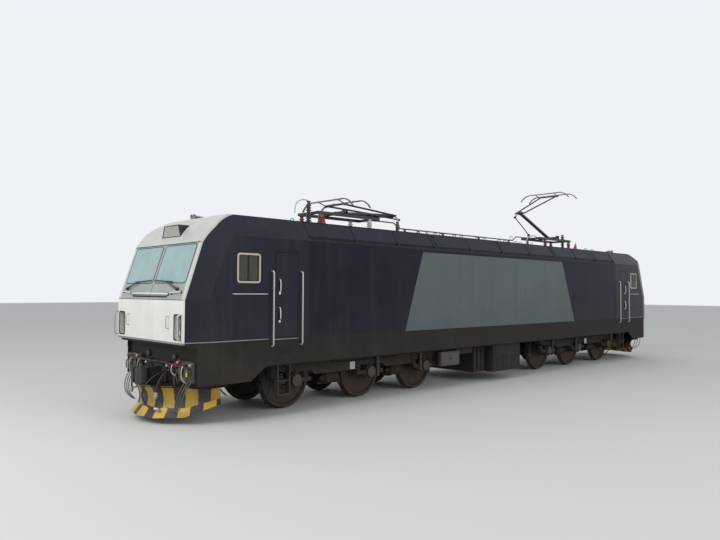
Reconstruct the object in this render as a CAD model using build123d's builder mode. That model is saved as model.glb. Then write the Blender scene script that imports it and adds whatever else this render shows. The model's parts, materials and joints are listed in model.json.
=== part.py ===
from build123d import *
from math import atan2, cos, degrees, hypot, radians, sin, tan
import os

# Electric locomotive with two cabs and two three-axle bogies, in millimetres.
# +X points to the front cab, +Y to the left side, +Z up. The origin lies under the middle of the
# locomotive at the lowest point of the wheel flanges, so the top of the rail is at z = rail_top.

# Wheels and rails
flange_depth = 28
wheel_radius = 625
wheel_back_spacing = 1353
tyre_width = 140
axle_seat_radius = 110
journal_radius = 75
journal_spacing = 2100
rail_top = flange_depth
axle_height = rail_top + wheel_radius
axle_places = [7350, 5100, 3100]
bogie_centre = 5225

# Body
half_width = 1550
wall = 60
skin = 30
sill_bottom = rail_top + 1041
skirt_bottom = rail_top + 764
floor_top = rail_top + 1572
floor_depth = 100
centre_sill_depth = 140
cant_height = rail_top + 3603
roof_edge_height = rail_top + 4045
roof_crown = rail_top + 4100
roof_edge = 1252
sill_end = 8371
skirt_start = 8744
skirt_end = 9885
skirt_shoulder = rail_top + 1313
headstock = 9815
nose_end = 10140
nose_top = rail_top + 2352
glass_top = rail_top + 3450
glass_top_end = 9778
brow_mid = (9480, rail_top + 3810)
brow_end = 8900
facet_start = 9680
facet_front_half_width = 1420
facet_lean = 0.385
facet_reach = 900
facet_height = 2200
cab_joint = 7300
bulkhead_place = 7400
bulkhead_thickness = 50

# Roof hatches
hatch_joint = 3030
joint_gap = 8
gutter_height = 70
gutter_depth = 45
gutter_rise = 35
rib_width = 60

# Cab openings
pane_inner = 90
pane_outer = 1240
pane_bottom = rail_top + 2690
pane_top = rail_top + 3395
pane_corner = 60
glass_thickness = 20
glass_clearance = 0.5
window_start = 8540
window_end = 9080
window_bottom = rail_top + 2690
window_top = rail_top + 3270
window_corner = 60
door_start = 7590
door_end = 8190
door_bottom = floor_top + 12
door_top = rail_top + 3330
door_gap = 8
door_front_gap = 12
door_thickness = 50
door_corner = 70
hinge_radius = 14
hinge_length = 90
hinge_height_shares = [0.15, 0.5, 0.85]
pin_clearance = 0.3

# Running gear
bogie_beam_y = journal_spacing / 2
bogie_beam_width = 220
bogie_beam_bottom = rail_top + 800
bogie_beam_top = rail_top + 1010
bogie_front_end = 7800
bogie_rear_end = 2650
transom_places = [6240, 4110]
transom_bottom = bogie_beam_top - 270
spring_wire = 28
primary_spring_radius = 95
primary_spring_offset = 330
secondary_spring_radius = 125
secondary_spring_spacing = 420
spring_seat_gap = 0.3
motor_radius = 310
motor_offset = 560
motor_half_length = 480

# Ends
coupler_height = rail_top + 880
coupler_face = 10423
pilot_bottom = rail_top + 110
pilot_top = rail_top + 700
lamp_radius = 75

# Pantographs
arm_length = 2030
arm_foot = 5200
arm_foot_height = rail_top + 4500
folded_angle = 3
raised_angle = 22
knee_lever = 213
rod_foot = (4050, rail_top + 4600)
arm_radius = 55
strip_spacing = 580
head_half_width = 975
strip_half_length = 520

os.makedirs("parts", exist_ok=True)


def turned(shape):
    """The same piece at the other end: half a turn about the vertical axis."""
    return Rot(0, 0, 180) * shape


def save(shape, label):
    """Label a finished piece and write it out."""
    shape.label = label
    export_step(shape, f"parts/{label}.step")


def cab_outline(back, bottom):
    """Side outline of the cab: upright nose, leaning windscreen, round brow and flat roof."""
    Polyline(
        (brow_end, roof_crown),
        (back, roof_crown),
        (back, bottom),
        (nose_end, bottom),
        (nose_end, nose_top),
        (glass_top_end, glass_top),
    )
    ThreePointArc((glass_top_end, glass_top), brow_mid, (brow_end, roof_crown))


def body_section(inset):
    """Cross-section of the upper body: upright walls, sloping cant and a slightly arched roof."""
    Polyline(
        (-(roof_edge - inset / 2), roof_edge_height - inset),
        (-(half_width - inset), cant_height - inset / 3),
        (-(half_width - inset), floor_top - inset),
        (half_width - inset, floor_top - inset),
        (half_width - inset, cant_height - inset / 3),
        (roof_edge - inset / 2, roof_edge_height - inset),
    )
    ThreePointArc(
        (roof_edge - inset / 2, roof_edge_height - inset),
        (0, roof_crown - inset),
        (-(roof_edge - inset / 2), roof_edge_height - inset),
    )


def facet_wedge(side, inset):
    """Plan of what is cut off outside the flat facet at one corner of the nose."""
    slope = (half_width - facet_front_half_width) / (nose_end - facet_start)
    Polyline(
        (facet_start, side * (half_width - inset)),
        (facet_start + facet_reach, side * (half_width - inset - slope * facet_reach)),
        (facet_start + facet_reach, side * (half_width + facet_reach)),
        (facet_start, side * (half_width + facet_reach)),
        close=True,
    )


def corner_cut(inset):
    """What is cut off outside both facets: upright below, leaning with the windscreen above."""
    with BuildPart() as cut:
        for side in (-1, 1):
            with BuildSketch(Plane.XY.offset(nose_top)):
                with BuildLine():
                    facet_wedge(side, inset)
                make_face()
            extrude(amount=nose_top, dir=(0, 0, -1))
            with BuildSketch(Plane.XY.offset(nose_top)):
                with BuildLine():
                    facet_wedge(side, inset)
                make_face()
            extrude(amount=facet_height, dir=(-facet_lean, 0, 1))
    return cut.part


corner_cuts = corner_cut(0)
inner_corner_cuts = corner_cut(wall)

# Outer form of the front cab
with BuildPart() as cab_form:
    with BuildSketch(Plane.XZ):
        with BuildLine():
            cab_outline(cab_joint, floor_top)
        make_face()
    extrude(amount=half_width, both=True)
    with BuildSketch(Plane.YZ.offset(cab_joint)):
        with BuildLine():
            body_section(0)
        make_face()
    extrude(amount=nose_end - cab_joint, mode=Mode.INTERSECT)
    add(corner_cuts, mode=Mode.SUBTRACT)

# Space inside the front cab, open below and behind
with BuildPart() as cab_space:
    with BuildSketch(Plane.XZ):
        with BuildLine():
            cab_outline(cab_joint - 2 * wall, floor_top - 2 * wall)
        make_face()
        offset(amount=-wall, mode=Mode.REPLACE)
    extrude(amount=half_width, both=True)
    with BuildSketch(Plane.YZ.offset(cab_joint - wall)):
        with BuildLine():
            body_section(wall)
        make_face()
    extrude(amount=nose_end - cab_joint, mode=Mode.INTERSECT)
    add(inner_corner_cuts, mode=Mode.SUBTRACT)

# Band of skin on the front of the cab, for the surround and the nose panel
with BuildPart() as front_band:
    with BuildSketch(Plane.XZ):
        with BuildLine():
            cab_outline(cab_joint - skin, floor_top - skin)
        make_face()
        with BuildSketch(Plane.XZ, mode=Mode.PRIVATE) as inner_outline:
            with BuildLine():
                cab_outline(cab_joint - skin, floor_top - skin)
            make_face()
            offset(amount=-skin, mode=Mode.REPLACE)
        add(inner_outline.sketch, mode=Mode.SUBTRACT)
        with Locations(((brow_end + nose_end) / 2, (floor_top + roof_crown) / 2)):
            Rectangle(nose_end - brow_end, roof_crown - floor_top, mode=Mode.INTERSECT)
    extrude(amount=half_width, both=True)
    add(cab_form.part, mode=Mode.INTERSECT)

# Windscreen panes, set on the leaning front
lean = atan2(nose_end - glass_top_end, glass_top - nose_top)
pane_middle_height = (pane_bottom + pane_top) / 2
pane_middle = nose_end - (pane_middle_height - nose_top) * tan(lean)
pane_plane = Plane(
    origin=(pane_middle, 0, pane_middle_height),
    x_dir=(0, 1, 0),
    z_dir=(cos(lean), 0, sin(lean)),
)
pane_width = pane_outer - pane_inner
pane_height = (pane_top - pane_bottom) / cos(lean)
pane_places = [(side * (pane_inner + pane_outer) / 2, 0) for side in (-1, 1)]

with BuildPart() as pane_cut:
    with BuildSketch(pane_plane.offset(skin)):
        with Locations(*pane_places):
            RectangleRounded(pane_width, pane_height, pane_corner)
    extrude(amount=-(wall + 3 * skin))

with BuildPart() as windscreens:
    with BuildSketch(pane_plane.offset(-skin / 2)):
        with Locations(*pane_places):
            RectangleRounded(
                pane_width - 2 * glass_clearance,
                pane_height - 2 * glass_clearance,
                pane_corner - glass_clearance,
            )
    extrude(amount=-glass_thickness)
    add(turned(windscreens.part))
save(windscreens.part, "windscreens")

# Light surround of the windscreens, running up into the brow
lamp_recess = (9540, rail_top + 3775)
with BuildPart() as surround_front:
    add(front_band.part)
    with Locations((brow_end, 0, floor_top)):
        Box(
            2 * nose_end,
            2 * half_width,
            nose_top - floor_top,
            align=(Align.CENTER, Align.CENTER, Align.MIN),
            mode=Mode.SUBTRACT,
        )
    add(pane_cut.part, mode=Mode.SUBTRACT)
    with BuildSketch(Plane.YZ.offset(brow_end)):
        with Locations((0, lamp_recess[1])):
            Trapezoid(820, 300, 84)
    extrude(amount=nose_end - brow_end, mode=Mode.SUBTRACT)
surround_rear = turned(surround_front.part)
save(surround_front.part, "windscreen_surround_front")
save(surround_rear, "windscreen_surround_rear")

# Headlamp housing in the brow: an open box with two lenses on its back
headlamp_back = 9290
with BuildPart() as headlamps:
    with BuildSketch(Plane.YZ.offset(headlamp_back)):
        with Locations((0, lamp_recess[1])):
            Trapezoid(820, 300, 84)
    extrude(amount=nose_end - headlamp_back)
    with BuildSketch(Plane.XZ):
        with BuildLine():
            cab_outline(cab_joint, floor_top)
        make_face()
        offset(amount=-skin / 3, mode=Mode.REPLACE)
    extrude(amount=half_width, both=True, mode=Mode.INTERSECT)
    with BuildSketch(Plane.YZ.offset(headlamp_back + skin)):
        with Locations((0, lamp_recess[1])):
            Trapezoid(780, 262, 84)
    extrude(amount=nose_end - headlamp_back, mode=Mode.SUBTRACT)
    with Locations(Plane.YZ.offset(headlamp_back + skin)):
        with Locations((-190, lamp_recess[1]), (190, lamp_recess[1])):
            Cylinder(105, 60, align=(Align.CENTER, Align.CENTER, Align.MIN))
    add(turned(headlamps.part))
save(headlamps.part, "headlamps")

# White nose panel with a recess for the lamps at each side
lamp_places = [side * 1210 for side in (-1, 1)]
lamp_box_width = 260
lamp_box_bottom = floor_top + 50
lamp_box_top = rail_top + 2080
lamp_box_depth = 160
with BuildPart() as lamp_boxes:
    with BuildSketch(Plane.YZ.offset(nose_end - lamp_box_depth)):
        for place in lamp_places:
            with Locations((place, (lamp_box_bottom + lamp_box_top) / 2)):
                RectangleRounded(lamp_box_width, lamp_box_top - lamp_box_bottom, 30)
    extrude(amount=lamp_box_depth)

with BuildPart() as nose_panels:
    add(front_band.part)
    with Locations((brow_end, 0, nose_top)):
        Box(
            2 * nose_end,
            2 * half_width,
            roof_crown - nose_top + skin,
            align=(Align.CENTER, Align.CENTER, Align.MIN),
            mode=Mode.SUBTRACT,
        )
    add(lamp_boxes.part, mode=Mode.SUBTRACT)
    add(turned(nose_panels.part))
save(nose_panels.part, "nose_panels")

# Marker lamp clusters: a back box with two round lamps, one above the other
with BuildPart() as marker_lamps:
    with BuildSketch(Plane.YZ.offset(nose_end - lamp_box_depth)):
        for place in lamp_places:
            with Locations((place, (lamp_box_bottom + lamp_box_top) / 2)):
                RectangleRounded(lamp_box_width - 1, lamp_box_top - lamp_box_bottom - 1, 30)
    extrude(amount=lamp_box_depth - 15)
    with BuildSketch(Plane.YZ.offset(nose_end - lamp_box_depth + 20)):
        for place in lamp_places:
            with Locations((place, (lamp_box_bottom + lamp_box_top) / 2)):
                RectangleRounded(lamp_box_width - 21, lamp_box_top - lamp_box_bottom - 21, 20)
    extrude(amount=lamp_box_depth, mode=Mode.SUBTRACT)
    with BuildSketch(Plane.YZ.offset(nose_end - lamp_box_depth + 20)):
        for place in lamp_places:
            for height in (lamp_box_bottom + 120, lamp_box_top - 120):
                with Locations((place, height)):
                    Circle(lamp_radius)
    extrude(amount=90)
    add(turned(marker_lamps.part))
save(marker_lamps.part, "marker_lamps")

# Cab shell: dark sides, roof and inner front, with its windows and doorways cut
with BuildPart() as side_cuts:
    with BuildSketch(Plane.XZ):
        with Locations(((window_start + window_end) / 2, (window_bottom + window_top) / 2)):
            RectangleRounded(window_end - window_start, window_top - window_bottom, window_corner)
        with Locations(((door_start + door_end) / 2, (door_bottom + door_top) / 2)):
            RectangleRounded(door_end - door_start, door_top - door_bottom, door_corner)
    extrude(amount=half_width + wall, both=True)

hinge_x = door_start + door_gap
hinge_y = half_width - wall - hinge_radius
hinge_heights = [door_bottom + share * (door_top - door_bottom) for share in hinge_height_shares]
with BuildPart() as cab_shell:
    add(cab_form.part)
    add(cab_space.part, mode=Mode.SUBTRACT)
    add(front_band.part, mode=Mode.SUBTRACT)
    add(pane_cut.part, mode=Mode.SUBTRACT)
    add(lamp_boxes.part, mode=Mode.SUBTRACT)
    add(side_cuts.part, mode=Mode.SUBTRACT)
    with BuildSketch(Plane.YZ.offset(headlamp_back)):
        with Locations((0, lamp_recess[1])):
            Trapezoid(822, 302, 84)
    extrude(amount=nose_end - headlamp_back, mode=Mode.SUBTRACT)
    for side in (-1, 1):
        for height in hinge_heights:
            for level in (height - hinge_length, height + hinge_length):
                with Locations((hinge_x, side * hinge_y, level)):
                    Cylinder(hinge_radius, hinge_length - 2 * pin_clearance)
                with Locations((hinge_x, side * hinge_y, level)):
                    Box(
                        3 * hinge_radius,
                        hinge_radius,
                        hinge_length - 2 * pin_clearance,
                        align=(Align.MAX, Align.MIN if side > 0 else Align.MAX, Align.CENTER),
                    )
cab_shell_rear = turned(cab_shell.part)
save(cab_shell.part, "cab_shell_front")
save(cab_shell_rear, "cab_shell_rear")

# Cab side windows: a proud rounded frame with its glass
with BuildPart() as cab_side_windows:
    for side in (-1, 1):
        outer_face = Plane(origin=(0, side * half_width, 0), x_dir=(1, 0, 0), z_dir=(0, -1, 0))
        inward = side
        with BuildSketch(outer_face.offset(-inward * 12)):
            with Locations(((window_start + window_end) / 2, (window_bottom + window_top) / 2)):
                RectangleRounded(
                    window_end - window_start - 1, window_top - window_bottom - 1, window_corner
                )
                RectangleRounded(
                    window_end - window_start - 80,
                    window_top - window_bottom - 80,
                    window_corner - 35,
                    mode=Mode.SUBTRACT,
                )
        extrude(amount=inward * (wall + 12))
        with BuildSketch(outer_face.offset(inward * 20)):
            with Locations(((window_start + window_end) / 2, (window_bottom + window_top) / 2)):
                RectangleRounded(
                    window_end - window_start - 80,
                    window_top - window_bottom - 80,
                    window_corner - 35,
                )
        extrude(amount=inward * 10)
    add(turned(cab_side_windows.part))
save(cab_side_windows.part, "cab_side_windows")


def door_leaf(side):
    """One cab door with its hinge barrels and outside handles, closed."""
    with BuildPart() as leaf:
        with BuildSketch(Plane.XZ.offset(-side * half_width)):
            middle = (door_start + door_gap + door_end - door_front_gap) / 2
            with Locations((middle, (door_bottom + door_top) / 2)):
                RectangleRounded(
                    door_end - door_start - door_gap - door_front_gap,
                    door_top - door_bottom - 2 * door_gap,
                    door_corner - door_gap,
                )
        extrude(amount=side * door_thickness)
        for height in hinge_heights:
            with Locations((hinge_x, side * hinge_y, height)):
                Cylinder(hinge_radius, hinge_length)
            with Locations((hinge_x, side * hinge_y, height)):
                Box(
                    4 * hinge_radius,
                    half_width - door_thickness - hinge_y,
                    hinge_length,
                    align=(Align.MIN, Align.MIN if side > 0 else Align.MAX, Align.CENTER),
                )
        for height in (rail_top + 2020, rail_top + 2640):
            with Locations((door_end - 120, side * half_width, height)):
                Box(26, 60, 150)
    return leaf.part


door_left = door_leaf(1)
door_right = door_leaf(-1)
door_shapes = {
    "door_front_left": door_left,
    "door_front_right": door_right,
    "door_rear_right": turned(door_left),
    "door_rear_left": turned(door_right),
}
for name, shape in door_shapes.items():
    save(shape, name)

# Side walls of the machine room
for side, name in ((1, "side_wall_left"), (-1, "side_wall_right")):
    with BuildPart() as side_wall:
        with Locations((0, side * (half_width - wall / 2), floor_top)):
            Box(
                2 * cab_joint,
                wall,
                cant_height - floor_top,
                align=(Align.CENTER, Align.CENTER, Align.MIN),
            )
    save(side_wall.part, name)

# Insulators of the roof, standing on flat pads
bus_height = rail_top + 4290
bus_radius = 20
pad_top = roof_crown + 12
pad_width = 230
base_beam_y = 360
base_bottom = rail_top + 4390
roof_post_table = [
    # place along, place across, top height, radius, sheds
    (4350, 360, base_bottom, 75, 4),
    (4350, -360, base_bottom, 75, 4),
    (6000, 360, base_bottom, 75, 4),
    (6000, -360, base_bottom, 75, 4),
    (2600, 0, bus_height - bus_radius, 60, 3),
    (900, 0, bus_height - bus_radius, 60, 3),
]

# Roof hatches: cant panels with a gutter slot, ribs and an arched top, hollow below
hatch_table = [
    # name, front end, rear end, number of cant panels
    ("roof_hatch_front", cab_joint, hatch_joint + joint_gap / 2, 3),
    ("roof_hatch_middle", hatch_joint - joint_gap / 2, -hatch_joint + joint_gap / 2, 4),
    ("roof_hatch_rear", -hatch_joint - joint_gap / 2, -cab_joint, 3),
]
cant_angle = degrees(atan2(roof_edge_height - cant_height, half_width - roof_edge))
for name, front, rear, panels in hatch_table:
    length = front - rear
    middle = (front + rear) / 2
    pitch = length / panels
    with BuildPart() as hatch:
        with BuildSketch(Plane.YZ.offset(rear)):
            with BuildLine():
                body_section(0)
            make_face()
            with BuildLine():
                body_section(wall)
            make_face(mode=Mode.SUBTRACT)
            with Locations((0, cant_height)):
                Rectangle(
                    2 * half_width,
                    roof_crown,
                    align=(Align.CENTER, Align.MAX),
                    mode=Mode.SUBTRACT,
                )
        extrude(amount=length)
        for panel in range(panels):
            place = rear + (panel + 0.5) * pitch
            with Locations((place, 0, cant_height + gutter_rise)):
                for side in (-1, 1):
                    with Locations((0, side * half_width, 0)):
                        Box(
                            pitch - rib_width,
                            2 * gutter_depth + gutter_height,
                            gutter_height,
                            align=(Align.CENTER, Align.CENTER, Align.MIN),
                            mode=Mode.SUBTRACT,
                        )
        for along, across, top_level, radius, sheds in roof_post_table:
            for end in (-1, 1):
                if rear < end * along < front:
                    with Locations((end * along, across, pad_top)):
                        Box(
                            pad_width,
                            pad_width,
                            pad_top - roof_edge_height,
                            align=(Align.CENTER, Align.CENTER, Align.MAX),
                        )
    save(hatch.part, name)

# Cross beams in front of and behind the springs of each bogie, and near the ends
cross_beam_gap = 130
cross_beam_width = 120
cross_beam_reach = secondary_spring_spacing + secondary_spring_radius + cross_beam_gap
cross_beam_places = [
    end * place
    for end in (-1, 1)
    for place in (bogie_centre - cross_beam_reach, bogie_centre + cross_beam_reach, 8500)
]

# Underframe: floor, side sills with end skirts, headstocks, centre sills and cross beams
with BuildPart() as underframe:
    with BuildSketch(Plane.XZ):
        with BuildLine():
            Polyline(
                (0, sill_bottom),
                (sill_end, sill_bottom),
                (skirt_start, skirt_bottom),
                (skirt_end, skirt_bottom),
                (skirt_end, skirt_shoulder),
                (nose_end - skin, floor_top),
                (0, floor_top),
                close=True,
            )
        make_face()
        mirror(about=Plane.YZ)
    extrude(amount=half_width, both=True)
    with BuildSketch(Plane.XZ):
        with Locations((0, floor_top - floor_depth)):
            Rectangle(4 * nose_end, roof_crown, align=(Align.CENTER, Align.MAX))
    extrude(amount=half_width - wall, both=True, mode=Mode.SUBTRACT)
    with Locations((-headstock, 0, skirt_bottom), (headstock - wall, 0, skirt_bottom)):
        Box(
            wall,
            2 * (facet_front_half_width + wall),
            floor_top - floor_depth - skirt_bottom,
            align=(Align.MIN, Align.CENTER, Align.MIN),
        )
    for side in (-1, 1):
        with Locations((0, side * 380, floor_top - floor_depth)):
            Box(2 * headstock, 90, centre_sill_depth, align=(Align.CENTER, Align.CENTER, Align.MAX))
    for place in cross_beam_places:
        with Locations((place, 0, floor_top - floor_depth)):
            Box(cross_beam_width, 2 * (half_width - wall), 120, align=(Align.CENTER, Align.CENTER, Align.MAX))
    add(corner_cuts, mode=Mode.SUBTRACT)
    add(turned(corner_cuts), mode=Mode.SUBTRACT)
save(underframe.part, "underframe")

# Rear walls of the cabs
with BuildPart() as bulkheads:
    with BuildSketch(Plane.YZ.offset(bulkhead_place)):
        with BuildLine():
            body_section(wall + glass_clearance)
        make_face()
        with Locations((0, floor_top)):
            Rectangle(
                2 * half_width, roof_crown, align=(Align.CENTER, Align.MAX), mode=Mode.SUBTRACT
            )
    extrude(amount=bulkhead_thickness)
    add(turned(bulkheads.part))
save(bulkheads.part, "cab_rear_walls")

# Driver's desks and seats
desk_height = 780
with BuildPart() as desks:
    with BuildSketch(Plane.XZ):
        with BuildLine():
            Polyline(
                (9950, floor_top),
                (9500, floor_top),
                (9450, floor_top + desk_height - 120),
                (9150, floor_top + desk_height - 60),
                (9150, floor_top + desk_height),
                (9600, floor_top + desk_height + 60),
                (9750, floor_top + desk_height + 220),
                (9900, floor_top + desk_height + 220),
                (9950, floor_top + desk_height),
                close=True,
            )
        make_face()
    extrude(amount=1150, both=True)
    add(turned(desks.part))
save(desks.part, "driver_desks")

with BuildPart() as seats:
    for side in (-1, 1):
        with Locations((8750, side * 650, floor_top)):
            Cylinder(60, 420, align=(Align.CENTER, Align.CENTER, Align.MIN))
            Cylinder(190, 30, align=(Align.CENTER, Align.CENTER, Align.MIN))
        with Locations((8750, side * 650, floor_top + 420)):
            Box(460, 480, 110, align=(Align.CENTER, Align.CENTER, Align.MIN))
        with Locations((8560, side * 650, floor_top + 530)):
            Box(100, 460, 620, align=(Align.CENTER, Align.CENTER, Align.MIN))
    add(turned(seats.part))
save(seats.part, "driver_seats")

# Heavy equipment of the machine room, in plain blocks on both sides of the middle corridor
block_table = [
    # place along the locomotive, length, height
    (5800, 1900, 1850),
    (3500, 2000, 1950),
    (1100, 2200, 1950),
    (-1300, 2000, 1950),
    (-3600, 2000, 1950),
    (-5850, 1900, 1850),
]
with BuildPart() as machine_blocks:
    for place, length, height in block_table:
        for side in (-1, 1):
            with Locations((place, side * 920, floor_top)):
                Box(length, 960, height, align=(Align.CENTER, Align.CENTER, Align.MIN))
save(machine_blocks.part, "machine_room_equipment")

# Transformer between the bogies, with its ribbed tank, hung from the centre sills
tank_bottom = rail_top + 250
tank_height = floor_top - floor_depth - centre_sill_depth - tank_bottom
with BuildPart() as transformer:
    with Locations((0, 0, tank_bottom)):
        Box(1900, 2300, tank_height, align=(Align.CENTER, Align.CENTER, Align.MIN))
    for place in range(-800, 801, 200):
        for side in (-1, 1):
            with Locations((place, side * 1150, tank_bottom + 60)):
                Box(40, 60, tank_height - 120, align=(Align.CENTER, Align.CENTER, Align.MIN))
save(transformer.part, "transformer")

# Equipment boxes and air reservoirs under the floor
box_table = [
    # place along, place across, length, width, height
    (-300, 1370, 1250, 200, 790),
    (300, -1370, 1250, 200, 790),
    (1700, 1150, 700, 500, 620),
    (-1700, -1150, 700, 500, 620),
]
with BuildPart() as underfloor_boxes:
    for place, across, length, width, height in box_table:
        with Locations((place, across, floor_top - floor_depth)):
            Box(length, width, height, align=(Align.CENTER, Align.CENTER, Align.MAX))
    for place, across in ((1650, -1100), (-1650, 1100)):
        with Locations((place, across, floor_top - floor_depth - 330)):
            Cylinder(180, 900, rotation=(0, 90, 0))
        for end in (-300, 300):
            with Locations((place + end, across, floor_top - floor_depth)):
                Box(50, 300, 200, align=(Align.CENTER, Align.CENTER, Align.MAX))
save(underfloor_boxes.part, "underfloor_equipment")

# Knuckle couplers with their shank and yoke
with BuildPart() as couplers:
    with BuildSketch(Plane.XY.offset(coupler_height - 130)):
        with BuildLine():
            Polyline(
                (9815, -75),
                (10150, -75),
                (10200, -150),
                (10330, -190),
                (10400, -150),
                (10400, -80),
                (10330, -90),
                (10310, -20),
                (10350, 30),
                (10423, 40),
                (10423, 110),
                (10330, 190),
                (10200, 150),
                (10150, 75),
                (9815, 75),
                close=True,
            )
        make_face()
    extrude(amount=260)
    with Locations((headstock, 0, coupler_height)):
        Box(60, 420, 380, align=(Align.MIN, Align.CENTER, Align.CENTER))
    add(turned(couplers.part))
save(couplers.part, "couplers")

# Pilots: a concave striped plough with a flat lip
pilot_corner_table = [
    # place along, place across, bottom, top setback
    (10330, 0.0),
    (10300, 300.0),
    (9850, 1000.0),
    (9270, 1320.0),
]
with BuildPart() as pilots:
    with BuildSketch(Plane.XY.offset(pilot_bottom)):
        with BuildLine():
            Polyline(
                (9250, -1320),
                (9850, -1000),
                (10300, -300),
                (10300, 300),
                (9850, 1000),
                (9250, 1320),
                (9250, 1260),
                (9810, 960),
                (10240, 280),
                (10240, -280),
                (9810, -960),
                (9250, -1260),
                close=True,
            )
        make_face()
    extrude(amount=pilot_top - pilot_bottom, dir=(-0.35, 0, 1))
    for side in (-1, 1):
        with Locations((headstock - 200, side * 900, pilot_top - 60)):
            Box(300, 40, skirt_bottom - pilot_top + 60, align=(Align.CENTER, Align.CENTER, Align.MIN))
    add(turned(pilots.part))
save(pilots.part, "pilots")

# Steps below the doors
with BuildPart() as steps:
    for side in (-1, 1):
        for place in (7740, 8040):
            with Locations((place, side * 1420, sill_bottom + 40)):
                Box(20, 140, 660, align=(Align.CENTER, Align.CENTER, Align.MAX))
        for height in (rail_top + 420, rail_top + 700):
            with Locations((7890, side * 1420, height)):
                Box(300, 140, 20)
    add(turned(steps.part))
save(steps.part, "steps")

# Handrails at the doors, at the nose corners and under the windscreens
rail_radius = 17
with BuildPart() as handrails:
    for side in (-1, 1):
        for place in (7524, 8261):
            with BuildLine() as rail_path:
                FilletPolyline(
                    (place, side * half_width, rail_top + 1427),
                    (place, side * (half_width + 75), rail_top + 1427),
                    (place, side * (half_width + 75), rail_top + 2940),
                    (place, side * half_width, rail_top + 2940),
                    radius=50,
                )
            with BuildSketch(Plane(rail_path.line @ 0, z_dir=rail_path.line % 0)):
                Circle(rail_radius)
            sweep()
        with BuildLine() as window_rail:
            FilletPolyline(
                (8390, side * half_width, rail_top + 2474),
                (8390, side * (half_width + 60), rail_top + 2474),
                (9175, side * (half_width + 60), rail_top + 2474),
                (9175, side * half_width, rail_top + 2474),
                radius=40,
            )
        with BuildSketch(Plane(window_rail.line @ 0, z_dir=window_rail.line % 0)):
            Circle(12)
        sweep()
        with BuildLine() as corner_rail:
            FilletPolyline(
                (nose_end, side * 1385, rail_top + 1610),
                (nose_end + 90, side * 1385, rail_top + 1610),
                (nose_end + 90, side * 1385, rail_top + 2090),
                (nose_end, side * 1385, rail_top + 2090),
                radius=50,
            )
        with BuildSketch(Plane(corner_rail.line @ 0, z_dir=corner_rail.line % 0)):
            Circle(14)
        sweep()
        with BuildLine() as grab_rail:
            FilletPolyline(
                (nose_end, side * 870, rail_top + 1820),
                (nose_end + 60, side * 870, rail_top + 1820),
                (nose_end + 60, side * 870, rail_top + 2050),
                (nose_end, side * 870, rail_top + 2050),
                radius=40,
            )
        with BuildSketch(Plane(grab_rail.line @ 0, z_dir=grab_rail.line % 0)):
            Circle(10)
        sweep()
    add(turned(handrails.part))
save(handrails.part, "handrails")

# Windscreen wipers: pivot, arm and blade
with BuildPart() as wipers:
    for side in (-1, 1):
        with Locations(pane_plane):
            with Locations((side * 1050, -pane_height / 2 - 60, 0)):
                Cylinder(35, 70, align=(Align.CENTER, Align.CENTER, Align.MIN))
            with Locations((side * 800, -pane_height / 2 + 40, 40)):
                Box(540, 22, 22, rotation=(0, 0, -side * 22))
    add(turned(wipers.part))
save(wipers.part, "wipers")

# Wheelsets: axle, two wheels and the driven gear, as one body
tread_face = wheel_back_spacing / 2
with BuildPart() as wheelset:
    with BuildSketch(Plane.XY):
        with BuildLine():
            Polyline(
                (0, 0),
                (axle_seat_radius, 0),
                (axle_seat_radius, tread_face - 40),
                (150, tread_face - 30),
                (165, tread_face + 15),
                (230, tread_face + 45),
                (540, tread_face + 50),
                (565, tread_face),
                (wheel_radius + 12, tread_face),
                (wheel_radius + flange_depth, tread_face + 12),
                (wheel_radius + flange_depth, tread_face + 20),
                (wheel_radius + 6, tread_face + 36),
                (wheel_radius, tread_face + 70),
                (wheel_radius - 4, tread_face + tyre_width - 8),
                (wheel_radius - 12, tread_face + tyre_width),
                (555, tread_face + tyre_width),
                (530, tread_face + 95),
                (240, tread_face + 100),
                (190, tread_face + 135),
                (130, tread_face + 140),
                (125, tread_face + 150),
                (journal_radius, tread_face + 165),
                (journal_radius, journal_spacing / 2 + 110),
                (0, journal_spacing / 2 + 110),
                close=True,
            )
        make_face()
    revolve(axis=Axis.Y)
    mirror(about=Plane.XZ)
wheelset_places = axle_places + [-place for place in reversed(axle_places)]
for number, place in enumerate(wheelset_places, start=1):
    save(Pos(place, 0, axle_height) * wheelset.part, f"wheelset_{number}")

# Front bogie: frame with side beams, transoms and end beams
with BuildPart() as bogie_frame:
    for side in (-1, 1):
        with BuildSketch(Plane.XZ.offset(-side * (bogie_beam_y - side * 0))):
            with BuildLine():
                Polyline(
                    (bogie_front_end, bogie_beam_top - 20),
                    (bogie_front_end, bogie_beam_bottom + 60),
                    (7600, bogie_beam_bottom),
                    (6900, bogie_beam_bottom),
                    (6800, bogie_beam_bottom - 90),
                    (5650, bogie_beam_bottom - 90),
                    (5550, bogie_beam_bottom),
                    (4650, bogie_beam_bottom),
                    (4550, bogie_beam_bottom - 90),
                    (3650, bogie_beam_bottom - 90),
                    (3550, bogie_beam_bottom),
                    (2850, bogie_beam_bottom),
                    (bogie_rear_end, bogie_beam_bottom + 60),
                    (bogie_rear_end, bogie_beam_top - 20),
                    (3400, bogie_beam_top),
                    (7050, bogie_beam_top),
                    close=True,
                )
            make_face()
        extrude(amount=bogie_beam_width / 2, both=True)
    for place in transom_places:
        with Locations((place, 0, transom_bottom)):
            Box(260, 2 * bogie_beam_y, 240, align=(Align.CENTER, Align.CENTER, Align.MIN))
bogie_frame_rear = turned(bogie_frame.part)
save(bogie_frame.part, "bogie_frame_front")
save(bogie_frame_rear, "bogie_frame_rear")

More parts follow.
